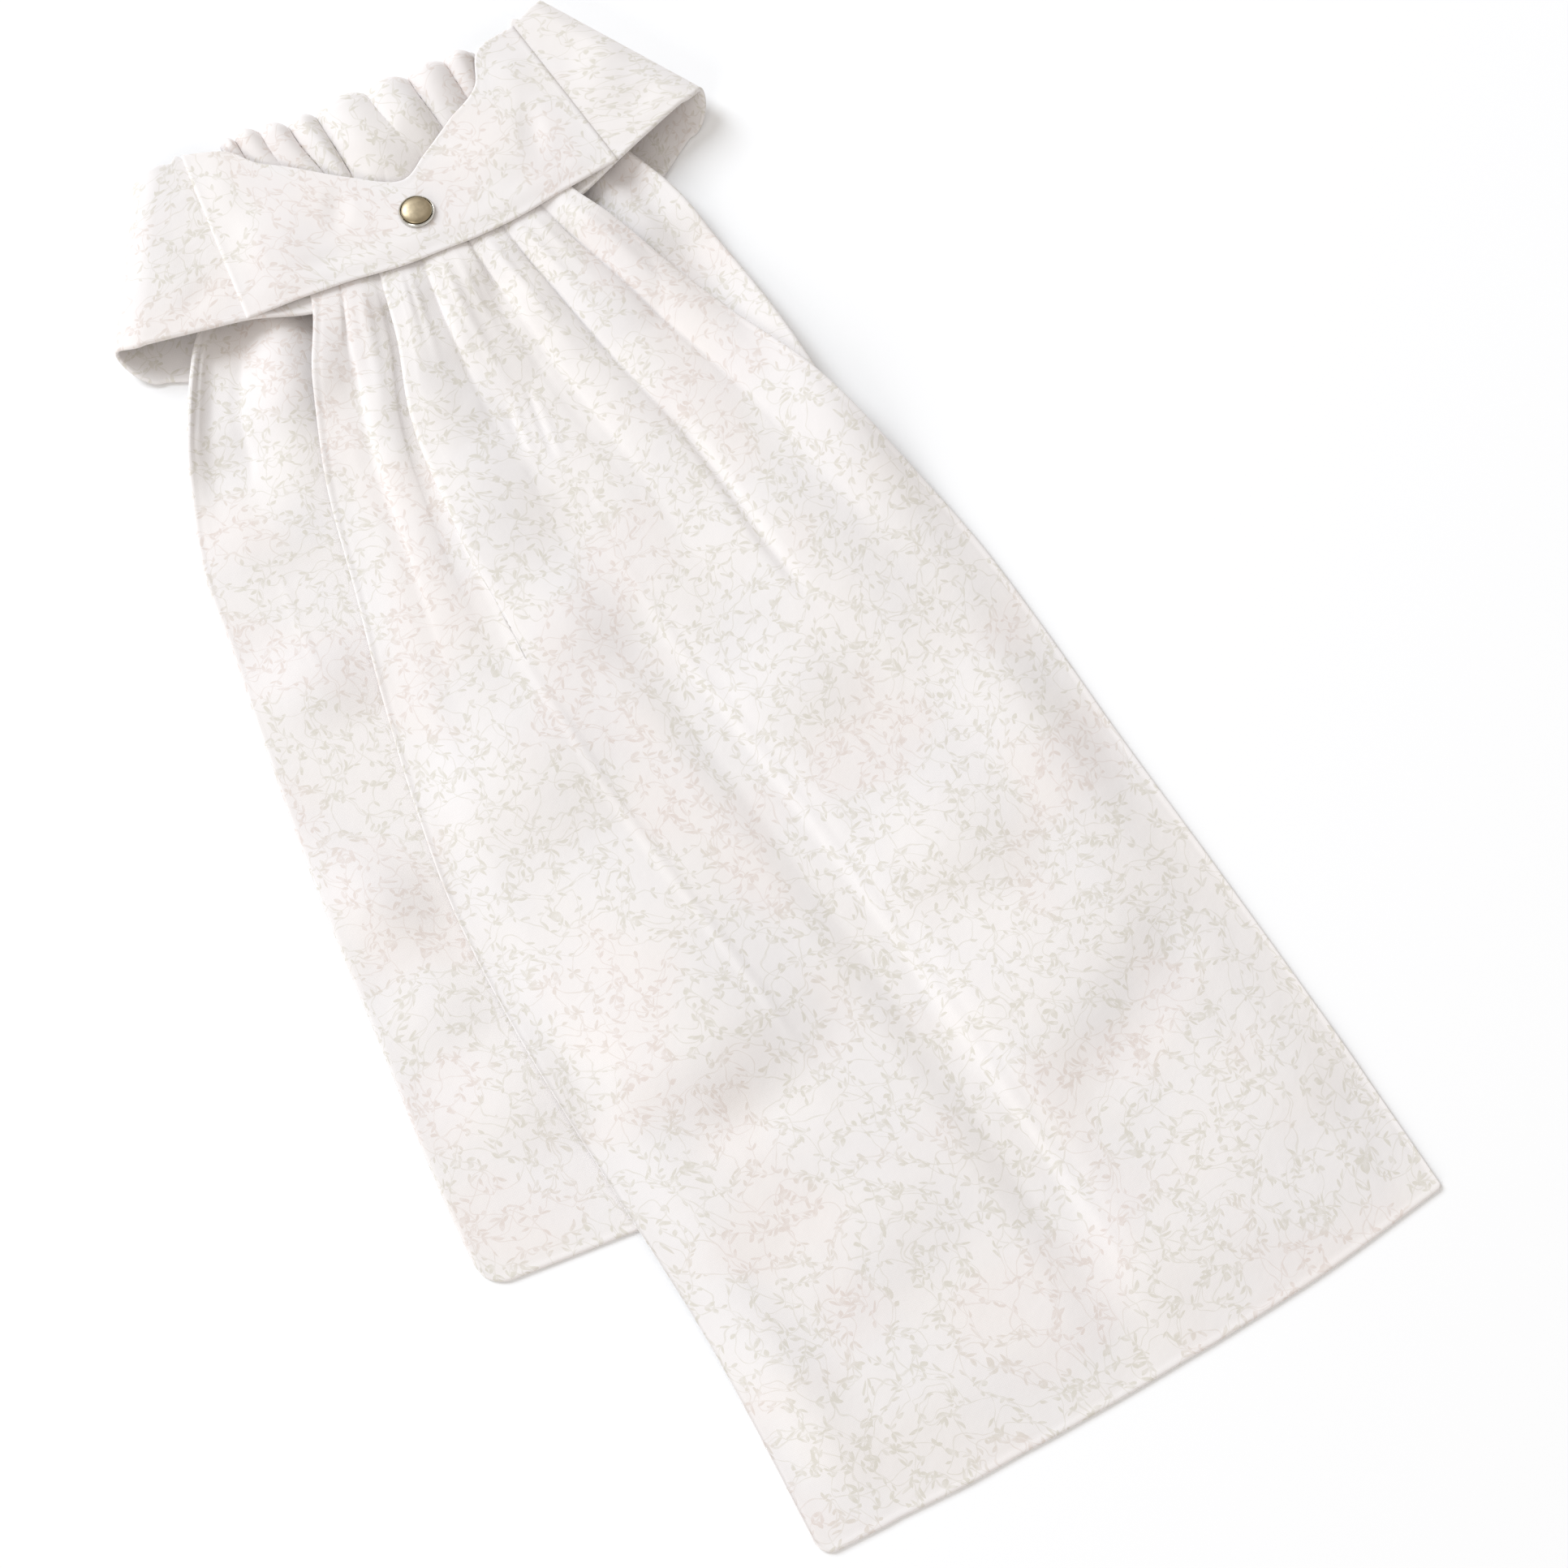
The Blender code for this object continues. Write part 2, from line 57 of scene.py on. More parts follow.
# Neckband, heights of its outer faces above the surface
YOKE_TOP = 0.0141
YOKE_SIDE_DROP = 0.0010                  # how far its two ends bend down, over this share of it
YOKE_SIDE_SHARE = 0.11
YOKE_EDGE_DROP = 0.0007                  # how far its lower edge bends down, and over what reach
YOKE_EDGE_REACH = 0.008
WING_TOP = 0.0130
WING_AT_SEAM = 0.0123                    # where the yoke's ends lie on the wings
TAB_TOP = 0.0107                         # the wings' tabs under the yoke
WING_SWELL_Z = (0.009, 0.012)            # the wings' swells begin and are full at these heights
BACK_SEAM_X = 0.0130                     # the centre back, where the wings meet
BACK_SEAM_HALF = 0.00015                 # half of the seam's width there
WING_ARC_STEPS = 22
WING_SPACING = 0.0011                    # between the ribs of a finished wing, and of the yoke
YOKE_SPACING = 0.0009
WING_COLUMNS = 52
YOKE_COLUMNS = 60
BAND_CLOSER = 0.6                        # 0 for even columns, 1 for the closest at both edges
RIB_LEAST_STEP = 0.0004                  # added to each step, so that no two stations meet

# Left wing, one rib a row from the tab under the yoke out to the turned end:
# x and y at the lower edge, x and y at the upper edge, height of the outer face
LEFT_WING_FRONT = (
    (-0.0270, 0.1802, -0.0270, 0.2030, TAB_TOP),
    (-0.0380, 0.1836, -0.0400, 0.2160, TAB_TOP + 0.0002),
    (-0.0530, 0.1893, -0.0470, 0.2572, WING_AT_SEAM),
    (-0.0690, 0.1930, -0.0520, 0.2585, WING_TOP - 0.0003),
    (-0.0890, 0.1974, -0.0560, 0.2598, WING_TOP),
)
# Turned end: x at the lower and at the upper edge, then how far the turn lies up the garment
# from its two sides, at the lower and at the upper edge
LEFT_WING_TURN = (-0.0996, -0.0656, 0.0088, 0.0012)
LEFT_WING_BACK = (
    (-0.0880, 0.1878, -0.0560, 0.2625, 0.0),
    (-0.0600, 0.1740, -0.0400, 0.2600, 0.0),
    (-0.0250, 0.1668, -0.0180, 0.2550, 0.0),
    (BACK_SEAM_X - BACK_SEAM_HALF, 0.1650, BACK_SEAM_X - BACK_SEAM_HALF, 0.2500, 0.0),
)
RIGHT_WING_FRONT = (
    (0.0600, 0.1780, 0.0600, 0.2030, TAB_TOP),
    (0.0690, 0.1806, 0.0665, 0.2140, TAB_TOP + 0.0002),
    (0.0815, 0.1846, 0.0755, 0.2512, WING_AT_SEAM),
    (0.0970, 0.1898, 0.0805, 0.2538, WING_TOP - 0.0003),
    (0.1135, 0.1950, 0.0860, 0.2562, WING_TOP),
)
RIGHT_WING_TURN = (0.1247, 0.0916, 0.0070, 0.0030)
RIGHT_WING_BACK = (
    (0.1130, 0.1880, 0.0860, 0.2592, 0.0),
    (0.0880, 0.1740, 0.0640, 0.2560, 0.0),
    (0.0500, 0.1668, 0.0400, 0.2520, 0.0),
    (BACK_SEAM_X + BACK_SEAM_HALF, 0.1650, BACK_SEAM_X + BACK_SEAM_HALF, 0.2500, 0.0),
)
# Yoke: x at the lower edge, y there, x at the upper edge, y there; the notch is in its upper edge
YOKE_RIBS = (
    (-0.0550, 0.1898, -0.0474, 0.2596),
    (-0.0450, 0.1888, -0.0400, 0.2562),
    (-0.0350, 0.1880, -0.0322, 0.2518),
    (-0.0270, 0.1871, -0.0262, 0.2438),
    (-0.0180, 0.1860, -0.0175, 0.2370),
    (0.0000, 0.1828, -0.0010, 0.2230),
    (0.0140, 0.1818, 0.0140, 0.2130),
    (0.0280, 0.1808, 0.0260, 0.2188),
    (0.0440, 0.1810, 0.0400, 0.2272),
    (0.0600, 0.1828, 0.0535, 0.2350),
    (0.0700, 0.1836, 0.0610, 0.2480),
    (0.0835, 0.1850, 0.0770, 0.2518),
)

# Front tail: y, x of its left edge, x of its right edge
FRONT_EDGES = (
    (-0.260, -0.0840, 0.1345),
    (-0.190, -0.0830, 0.1322),
    (-0.130, -0.0865, 0.1292),
    (-0.080, -0.0892, 0.1262),
    (-0.030, -0.0884, 0.1240),
    (0.010, -0.0830, 0.1205),
    (0.050, -0.0752, 0.1120),
    (0.085, -0.0670, 0.1025),
    (0.125, -0.0580, 0.0880),
    (0.160, -0.0455, 0.0745),
    (0.186, -0.0330, 0.0640),
    (0.207, -0.0310, 0.0620),
)
# Front tail hem: share of the width, y
FRONT_HEM = ((0.0, -0.2578), (0.35, -0.2604), (0.75, -0.2585), (1.0, -0.2530))
FRONT_CORNERS = (0.0055, 0.0016)         # radius of the hem's left and right corner
FRONT_HEM_WIDTH = 0.2185
FRONT_ROWS = (0.466, 232)                # length down the cloth and number of rows
FRONT_ROOT_Y = 0.2062
FRONT_ROOT_RISE = 0.0073                 # height of its lower face at the root
FRONT_RISE_FROM_Y = 0.098                # and where it starts to rise there
PLEAT_FULL_Y = 0.178                     # from here up the pleats are full
# Pleats, left to right: share of the width, height of the cloth on its left and on its right,
# how far it lies over itself, y where it has gone, rise of the cloth between it and the next one
PLEATS = (
    ("left_edge", 0.000, 0.0034, 0.0034, 0.0, 0.140, 0.0002),
    ("tuck", 0.105, 0.0032, 0.0020, 0.0, 0.152, 0.0020),
    ("deep_lap", 0.262, 0.0000, 0.0036, 0.0060, -0.020, 0.0010),
    ("second_lap", 0.420, 0.0006, 0.0032, 0.0, 0.110, 0.0012),
    ("pocket", 0.580, 0.0034, 0.0004, 0.0, 0.150, 0.0032),
    ("valley", 0.715, 0.0004, 0.0004, 0.0, 0.060, 0.0038),
    ("side_valley", 0.870, 0.0003, 0.0003, 0.0, 0.050, 0.0034),
    ("right_edge", 1.000, 0.0038, 0.0038, 0.0, 0.135, 0.0),
)
PANEL_COLUMNS = (22, 18, 20, 18, 18, 20, 24)
SIDE_PANEL_POWER = 1.7                   # columns lie closer together towards both side edges
LAP_RADIUS = 0.0009                      # of the two turns of cloth that lies over itself
LAP_TURN_STEPS = 6
LAP_APPROACH = 0.0022                    # flat cloth before its first turn
STEP_HALF = 0.0009                       # half width of a step between two heights
STEP_FADED = 3.0                         # how many times wider it is where it has gone
STEP_BEND = (0.4, 0.10)                  # its inner columns: parts of the half width and height
PANEL_EASE = 0.5                         # 0 for straight slopes between the pleats, 1 for soft
PUFF_FADE_Y = -0.008                     # where the puffs between the pleats have gone
PUFF_SHARPNESS = (1.0, 0.55)             # of the puffs' valleys, where they fade and at the root
PRESS_REACH = 0.017                      # the yoke's edge presses the pleats together over this far
PRESS_TOP = 0.0036                       # pressed heights close in on this one
PRESS_SHARE = 0.24                       # and keep this part of their distance from it
# How far the deep lap's edge lies from its straight share line: y, distance
LAP_DRIFT = (
    (-0.040, 0.0),
    (0.020, -0.0022),
    (0.054, -0.0040),
    (0.082, -0.0066),
    (0.105, -0.0060),
    (0.134, -0.0040),
    (0.160, 0.0004),
    (0.178, 0.0),
)
LOOSE_BELOW_Y = 0.125                    # below here the tail lies loose
LOOSE_REACH = 0.045                      # and above it less and less, over this reach
GATHERS_TO_Y = 0.176                     # up to here the small gathers are full, and then they
GATHERS_END_REACH = 0.010                # end over this reach, under the yoke
# Small gathers that run down from the root: share, rise, half width as a share, y where it has gone
ROOT_GATHERS = (
    (0.190, 0.0006, 0.035, 0.130),
    (0.300, 0.0004, 0.018, 0.150),
    (0.345, 0.0005, 0.024, 0.130),
    (0.470, 0.0007, 0.026, 0.108),
    (0.530, 0.0005, 0.022, 0.132),
    (0.640, 0.0008, 0.026, 0.116),
    (0.760, 0.0008, 0.022, 0.124),
    (0.815, 0.0006, 0.020, 0.140),
    (0.935, 0.0008, 0.030, 0.110),
)

# Under tail: y, x of its left edge, x of its right edge
UNDER_EDGES = (
    (-0.170, -0.1345, 0.0860),
    (-0.110, -0.1325, 0.0910),
    (-0.064, -0.1285, 0.0960),
    (-0.005, -0.1232, 0.1010),
    (0.050, -0.1162, 0.1035),
    (0.087, -0.1108, 0.1042),
    (0.117, -0.1070, 0.1035),
    (0.151, -0.0962, 0.1000),
    (0.171, -0.0870, 0.0965),
    (0.190, -0.0765, 0.0900),
    (0.200, -0.0690, 0.0860),
    (0.226, -0.0510, 0.0710),
)
UNDER_HEM = ((0.0, -0.1405), (1.0, -0.1680))
UNDER_CORNERS = (0.0085, 0.0030)         # radius of the hem's left and right corner
UNDER_HEM_WIDTH = 0.2205
UNDER_ROWS = (0.380, 190)                # length down the cloth and number of rows
UNDER_COLUMNS = 150
UNDER_CLOSER = 0.45
UNDER_ROOT_Y = 0.2260
UNDER_LIFT = 0.0019                      # it rises onto the neckband's back by this much
UNDER_LEAST_LIFT = 0.9                   # part of that rise which a dip in the cloth leaves
UNDER_LIFT_FROM_Y = 0.145
UNDER_LIFT_TO_Y = 0.163
# Gathers of the under tail: share of the width, rise, half width as a share, y where it has gone
UNDER_GATHERS = (
    (0.000, 0.0040, 0.050, 0.120),
    (0.192, 0.0050, 0.105, 0.080),
    (0.360, 0.0026, 0.060, 0.100),
    (0.500, 0.0026, 0.060, 0.100),
    (0.640, 0.0026, 0.060, 0.100),
    (0.900, 0.0044, 0.085, 0.070),
    (1.000, 0.0042, 0.070, -0.010),
)
COVER_CLEAR = 0.002                      # the front tail stays up this far past the under tail's edge
COVER_RAMP = 0.048                       # and lies on the surface from here
COVER_SIDE = 1.6                         # how many times shorter that way down is at the side
LAY_GAP = 0.0010                         # between the two tails
STRIP_GAP = 0.0003                       # between the stretches of the strip, under the yoke

# Soft swells of the laid cloth: x, y, half length along its own axis, reach up the garment from
# the middle, reach down it, turn of the axis in degrees, rise
FRONT_SWELLS = (
    (-0.040, -0.104, 0.052, 0.086, 0.032, 3.0, 0.0056),
    (-0.012, 0.094, 0.034, 0.034, 0.030, -30.0, 0.0024),
    (-0.010, 0.040, 0.026, 0.026, 0.022, -16.0, 0.0020),
    (-0.050, -0.004, 0.036, 0.044, 0.030, -34.0, 0.0030),
    (0.058, -0.088, 0.034, 0.034, 0.022, -24.0, 0.0028),
    (0.066, -0.142, 0.056, 0.052, 0.036, 22.0, 0.0034),
    (0.070, 0.022, 0.070, 0.028, 0.028, -68.0, 0.0032),
    (0.042, -0.016, 0.028, 0.030, 0.022, -38.0, 0.0020),
    (-0.072, -0.200, 0.050, 0.019, 0.018, -76.0, 0.0020),
    (0.100, -0.206, 0.044, 0.034, 0.026, 14.0, 0.0016),
    (0.102, -0.060, 0.050, 0.020, 0.022, -80.0, 0.0020),
    (0.026, 0.078, 0.036, 0.020, 0.018, -64.0, 0.0016),
    (-0.028, -0.186, 0.040, 0.026, 0.024, 10.0, 0.0016),
)
FRONT_LOFT = 0.0022                      # how far the front tail lies up off what is under it
FRONT_LOFT_REACH = (0.022, 0.030)        # from its sides and from its hem to there
# Swells near the root, over the gathers, each as above
ROOT_SWELLS = (
    (-0.038, 0.160, 0.013, 0.015, 0.014, 6.0, 0.0016),
    (0.002, 0.152, 0.013, 0.014, 0.013, 0.0, 0.0008),
    (-0.011, 0.126, 0.016, 0.015, 0.014, 10.0, 0.0010),
    (0.030, 0.150, 0.014, 0.020, 0.016, -60.0, 0.0008),
    (0.064, 0.142, 0.024, 0.010, 0.010, -58.0, 0.0008),
)
UNDER_SWELLS = (
    (-0.088, 0.120, 0.026, 0.026, 0.020, -35.0, 0.0022),
    (-0.093, 0.062, 0.027, 0.028, 0.019, -29.0, 0.0032),
    (-0.110, -0.010, 0.040, 0.018, 0.017, -72.0, 0.0020),
    (-0.104, -0.014, 0.024, 0.026, 0.019, -28.0, 0.0018),
    (-0.108, -0.056, 0.022, 0.022, 0.017, -28.0, 0.0014),
    (-0.100, -0.094, 0.032, 0.030, 0.022, -30.0, 0.0024),
    (0.106, 0.076, 0.076, 0.034, 0.030, -80.0, 0.0066),
)
YOKE_SWELLS = (
    (0.048, 0.206, 0.024, 0.020, 0.014, -28.0, 0.0013),
    (-0.034, 0.212, 0.022, 0.020, 0.016, -52.0, 0.0012),
    (0.012, 0.194, 0.014, 0.012, 0.010, 0.0, 0.0003),
    (0.070, 0.234, 0.012, 0.012, 0.014, -20.0, 0.0008),
    (-0.046, 0.240, 0.014, 0.010, 0.012, -58.0, 0.0006),
    (0.063, 0.210, 0.016, 0.007, 0.007, 70.0, -0.0009),
    (-0.010, 0.213, 0.012, 0.007, 0.007, 63.0, -0.0008),
    (-0.020, 0.196, 0.018, 0.006, 0.006, -14.0, -0.0005),
)
WING_SWELLS = (
    (-0.072, 0.226, 0.024, 0.013, 0.014, -72.0, 0.0009),
    (-0.066, 0.205, 0.016, 0.007, 0.007, 20.0, -0.0005),
    (0.096, 0.222, 0.022, 0.013, 0.012, 62.0, 0.0010),
    (0.102, 0.204, 0.014, 0.007, 0.007, 25.0, -0.0005),
)
CREASE_FADE = 0.25                       # part of its length over which each end of a crease fades
# Creases: half width, rise, then the points that each one runs through
FRONT_CREASES = (
    (0.0026, 0.0006, ((0.010, 0.078), (0.015, 0.047), (0.016, 0.018), (0.020, -0.010), (0.025, -0.055),
                      (0.030, -0.105), (0.034, -0.160), (0.038, -0.215), (0.035, -0.262))),
    (0.0170, -0.0028, ((0.002, 0.066), (0.008, 0.018), (0.012, -0.010), (0.017, -0.055), (0.022, -0.105),
                       (0.026, -0.160), (0.029, -0.215), (0.026, -0.270))),
    (0.0027, 0.0004, ((-0.0305, 0.060), (-0.0290, 0.020), (-0.0275, -0.015), (-0.0225, -0.060),
                      (-0.0175, -0.104), (-0.0140, -0.140))),
    (0.0012, -0.0006, ((0.0085, 0.128), (0.0050, 0.108), (0.0025, 0.092), (0.0018, 0.078))),
    (0.0011, 0.0004, ((0.0110, 0.126), (0.0075, 0.106), (0.0050, 0.090))),
    (0.0012, -0.0006, ((0.0165, 0.126), (0.0140, 0.110), (0.0118, 0.094))),
    (0.0010, 0.0004, ((0.0188, 0.124), (0.0165, 0.108), (0.0143, 0.092))),
    (0.0010, -0.0004, ((0.0152, 0.084), (0.0150, 0.072), (0.0150, 0.060))),
    (0.0160, -0.0016, ((-0.084, -0.062), (-0.074, -0.106), (-0.052, -0.130), (-0.014, -0.138))),
    (0.0170, -0.0010, ((0.112, -0.132), (0.100, -0.148), (0.076, -0.164), (0.044, -0.178))),
    (0.0036, -0.0014, ((0.0520, 0.105), (0.0560, 0.085), (0.0572, 0.062), (0.0585, 0.036),
                       (0.0620, 0.006))),
)
UNDER_CREASES = (
    (0.0030, -0.0006, ((-0.0560, 0.190), (-0.0640, 0.180), (-0.0720, 0.165), (-0.0800, 0.135))),
    (0.0012, 0.0003, ((-0.0850, 0.110), (-0.0880, 0.085), (-0.0890, 0.060))),
)

# Edges. The turned edge: place in from the edge, half width and rise of its roll, then of the
# dip behind it
EDGE_ROLL = (0.0010, 0.0011, 0.00013)
EDGE_DIP = (0.0028, 0.0012, -0.00009)
BAND_EDGE = 0.35                         # share of that roll on the neckband's edges
EDGE_ROUNDING = 0.62                     # how far in an edge is rounded, as a part of the wall
EDGE_FULLNESS = 0.22                     # thickness left at the very edge, as a part of the wall
# The hem that shows on the under tail's left edge: two rolls and the dip between them, each as
# above, from this y up
HEM_ROLLS = ((0.0012, 0.0014, 0.0005), (0.0038, 0.0014, 0.0004), (0.0025, 0.0010, -0.0003))
HEM_FROM_Y = 0.150
HEM_FADE = 0.02                          # over this reach the hem comes in
# The last rows of a tail lie this far from its hem, and the others end this share of its length
# before them
HEM_CLOSE_ROWS = (0.0048, 0.0036, 0.0026, 0.0018, 0.0012, 0.0007, 0.0003, 0.0)
HEM_CLEAR_SHARE = 0.002
ROW_SPREAD = 0.28                        # 0 for even rows, more for wider ones down the tail
LOWEST_POINT = 0.00002                   # keeps the cloth just off the surface
INNER_PLY_PLACE = (0.4, 0.0)             # how far its print is from the outer ply's

# Gathered roll in the notch. Its top edge: share of the width, y
ROLL_TOP = ((0.0, 0.2600), (0.09, 0.2596), (0.16, 0.2570), (0.26, 0.2548), (0.50, 0.2548),
            (0.72, 0.2534), (0.88, 0.2526), (1.0, 0.2528))
ROLL_REACH = 0.0056                      # from where it starts to turn over, up to its top edge
ROLL_FRONT_RISE = 0.0076                 # height of its front's lower face
ROLL_FRONT_BLEND = 0.018                 # over this reach it comes up from the front tail's root
ROLL_LIFT = 0.0046                       # how far it swells up past the notch's edge
ROLL_LIFT_REACH = 0.017
ROLL_LIFT_POWER = 1.5                    # 1 for a straight rise, more for a rounder one
ROLL_NOTCHING = 0.55                     # part of a crease's depth that shows in the top edge
ROLL_CREASE_FROM_Y = 0.222               # the creases lie at their notch places up to here
ROLL_LEFT_X = -0.0335                    # ends of its turn
ROLL_RIGHT_X = 0.0605
ROLL_COLUMNS = 230
ROLL_FRONT_ROWS, ROLL_TURN_ROWS, ROLL_BACK_ROWS = 55, 24, 20
# Creases between the roll's folds: share at the top edge, share at the notch, depth at the top and
# at the notch, as parts of the fold's height
ROLL_CREASES = (
    (0.000, 0.020, 1.0, 1.0),
    (0.055, 0.100, 0.95, 0.90),
    (0.144, 0.185, 0.55, 0.20),
    (0.250, 0.292, 0.80, 1.00),
    (0.356, 0.365, 0.85, 1.00),
    (0.560, 0.590, 0.60, 0.12),
    (0.728, 0.752, 0.80, 1.00),
    (0.878, 0.893, 0.70, 0.65),
    (1.000, 1.000, 1.0, 1.0),
)
ROLL_FOLD_RISE = 0.0040
ROLL_SHARPNESS = 0.60                    # below 1 for round folds with sharp creases between them
ROLL_DEEPER = 0.5                        # part that the creases are deeper out in the notch
ROLL_FLATTER = 0.3                       # part that they are shallower under the yoke
ROLL_PUFF = (0.0150, 0.2400, 0.0240, 0.0170, 0.0011)     # x, y, half width, half height, rise

# Snap, seated in the yoke; its place is the frame's
SNAP_PLACE = (0.0132 + FRAME_SHIFT[0], 0.1986 + FRAME_SHIFT[1])
SNAP_SEAT = 0.0145                       # height at which the ring starts
SNAP_SIDES = 96
FACING_UP = 0.9                          # least upward part of a top face's normal
TOP_SLACK = 0.0001                       # faces this close under a piece's top count as its top
RING_BASE = 0.0006                       # height of the short cylinder that each part starts as
CAP_BASE = 0.0004
# The ring's top, from its edge inwards: step in as a part of its width, and rise
RING_STEPS = ((0.25, 0.0004), (0.25, 0.0002), (0.25, -0.0001), (0.15, -0.0004), (0.10, -0.0004))
CAP_GAP = 0.00012                        # between the ring and the cap
CAP_RISE = 0.0014
CAP_STEPS = 12
CAP_LAST_STEP = 0.9                      # the last step in stops this short of the middle
SMOOTH_ANGLE = 50.0                      # degrees between faces up to which they look smooth

# Print, in millimetres. Layers of vines: where each lies, spread of its stems, leaf spacing
PRINT_LAYERS = (
    ((0.0, 0.0, 0.0), 0.064, 4.3),
    ((137.0, 61.0, 0.0), 0.074, 4.1),
    ((-83.0, 219.0, 0.0), 0.056, 4.5),
    ((59.0, -171.0, 0.0), 0.068, 4.4),
)
STEM_HALF_WIDTH = (0.26, 0.08)           # where a stem's ink begins and where it is full
STEM_INK = 0.68                          # how strong a stem's ink is beside a leaf's
STEM_SLOPE_REACH = 0.25                  # reach over which a noise's slope is taken
STEM_LEAST_SLOPE = 0.004
LEAF_SCATTER = 0.75                      # 0 for a grid of leaves, 1 for the most scattered
LEAF_LEAN = 40.0                         # degrees away from its stem
LEAF_FOOT = 0.36                         # part of a leaf's length that its foot is set back
LEAF_HALF_WIDTH = 0.19                   # as a part of its length
LEAF_EDGE = (-0.06, 0.14)                # depths inside a leaf where its ink begins and is full
LEAF_STEM_REACH = 1.7                    # leaves grow only from stems this close
SINGLE_LEAVES = 0.55                     # share of single leaves, the others are pairs
INK_STRENGTH = 0.60
CLOTH_RELIEF = (0.55, 0.00012)           # strength and depth of the weave's and the puckers' bumps

# Metals: strength of the painted shade at the cap's edge, roughness and strength of the brush lines,
# then the lines' depth
NICKEL_FINISH = (0.06, 0.20, 0.04)
CHAMPAGNE_FINISH = (0.34, 0.42, 0.25)
BRUSH_DEPTH = 0.00002
RIM_SHADE_IN = (3.2, 4.7)                    # radii in millimetres where the painted shade at the cap's edge begins and is full
RIM_SHADE_OUT = (5.4, 6.2)                   # and where it starts to go and has gone

# Studio. Lights: degrees round from the garment's right, degrees up, power and colour
KEY_LIGHT = (117.0, 37.0, 270.0, (0.877, 0.933, 0.996))
FILL_LIGHT = (212.0, 22.0, 78.0, (1.0, 0.985, 0.96))
LIGHT_DISTANCE = 6.0
LIGHT_SIZE = 3.0
AIR_COLOUR = (1.0, 0.958, 0.914, 1.0)
AIR_STRENGTH = 0.60
FLOOR_SIZE = 8.0
FLOOR_Z = -0.0002
FLOOR_LOW_TONE = 0.995                   # of the floor's duller patches, beside its colour
CAMERA_TARGET = (0.02328, -0.04140, 0.0)
CAMERA_DISTANCE = 0.969
CAMERA_TURN = -119.0                     # degrees round from the garment's right, and up
CAMERA_RISE = 68.0
CAMERA_FIELD = 29.0
CAMERA_REACH = (0.01, 20.0)              # nearest and furthest that it sees


class CravatSizes(bpy.types.PropertyGroup):
    """Sizes of the cloth, its folds, its print and the snap."""

    tail_wall: bpy.props.FloatProperty(
        name="Tail thickness",
        description="Thickness of the gathered strip, two plies of cotton",
        default=0.0009,
        unit="LENGTH",
    )
    band_wall: bpy.props.FloatProperty(
        name="Neckband thickness",
        description="Thickness of the wings, two plies and interfacing",
        default=0.0015,
        unit="LENGTH",
    )
    yoke_wall: bpy.props.FloatProperty(
        name="Yoke thickness",
        description="Thickness of the notched centre front",
        default=0.0011,
        unit="LENGTH",
    )
    softness: bpy.props.FloatProperty(
        name="Softness",
        description="How far the laid cloth swells, 1 as in the photograph",
        default=1.0,
        min=0.0,
        max=1.5,
        subtype="FACTOR",
    )
    snap_radius: bpy.props.FloatProperty(
        name="Snap radius",
        description="Outer radius of the snap's ring",
        default=0.0062,
        unit="LENGTH",
    )
    ring_width: bpy.props.FloatProperty(
        name="Snap ring width",
        description="Width of the ring around the cap",
        default=0.0008,
        unit="LENGTH",
    )
    sprig_size: bpy.props.FloatProperty(
        name="Sprig size",
        description="Length of one leaf of the print",
        default=0.0030,
        unit="LENGTH",
    )


class CravatColours(bpy.types.PropertyGroup):
    """Colours of the cotton, its print, the metals and the floor."""

    ivory: bpy.props.FloatVectorProperty(
        name="Ivory cotton",
        description="Ground of the cloth",
        subtype="COLOR",
        size=4,
        default=(0.872, 0.840, 0.829, 1.0),
    )
    olive_ink: bpy.props.FloatVectorProperty(
        name="Greige ink",
        description="Print, where it leans to olive",
        subtype="COLOR",
        size=4,
        default=(0.638, 0.604, 0.508, 1.0),
    )
    pink_ink: bpy.props.FloatVectorProperty(
        name="Rose ink",
        description="Print, where it leans to pink",
        subtype="COLOR",
        size=4,
        default=(0.705, 0.605, 0.550, 1.0),
    )
    champagne: bpy.props.FloatVectorProperty(
        name="Champagne metal",
        description="Cap of the snap",
        subtype="COLOR",
        size=4,
        default=(0.540, 0.450, 0.310, 1.0),
    )
    nickel: bpy.props.FloatVectorProperty(
        name="Nickel",
        description="Ring of the snap",
        subtype="COLOR",
        size=4,
        default=(0.700, 0.690, 0.650, 1.0),
    )
    floor: bpy.props.FloatVectorProperty(
        name="Floor",
        description="Studio surface",
        subtype="COLOR",
        size=4,
        default=(0.975, 0.978, 0.985, 1.0),
    )


def ease(value):
    """0 to 1, flat at both ends."""
    value = np.clip(value, 0.0, 1.0)
    return value * value * (3.0 - 2.0 * value)


def soft_step(value, low, high):
    """0 up to low, 1 from high on and a soft slope between them."""
    return ease((value - low) / (high - low))


def bump(distance, half_width):
    """1 in the middle, 0 from half_width on."""
    near = np.clip(np.abs(distance) / half_width, 0.0, 1.0)
    return np.cos(math.pi / 2.0 * near) ** 2


def mix(first, second, share):
    """Part of the way from first to second."""
    return first + (second - first) * share


def shares_across(count, closer):
    """Shares from 0 to 1, closer together near both ends; closer is 0 for evenly spread."""
    t = np.linspace(0.0, 1.0, count)
    return (0.5 - 0.5 * np.cos(math.pi * t)) * closer + t * (1.0 - closer)


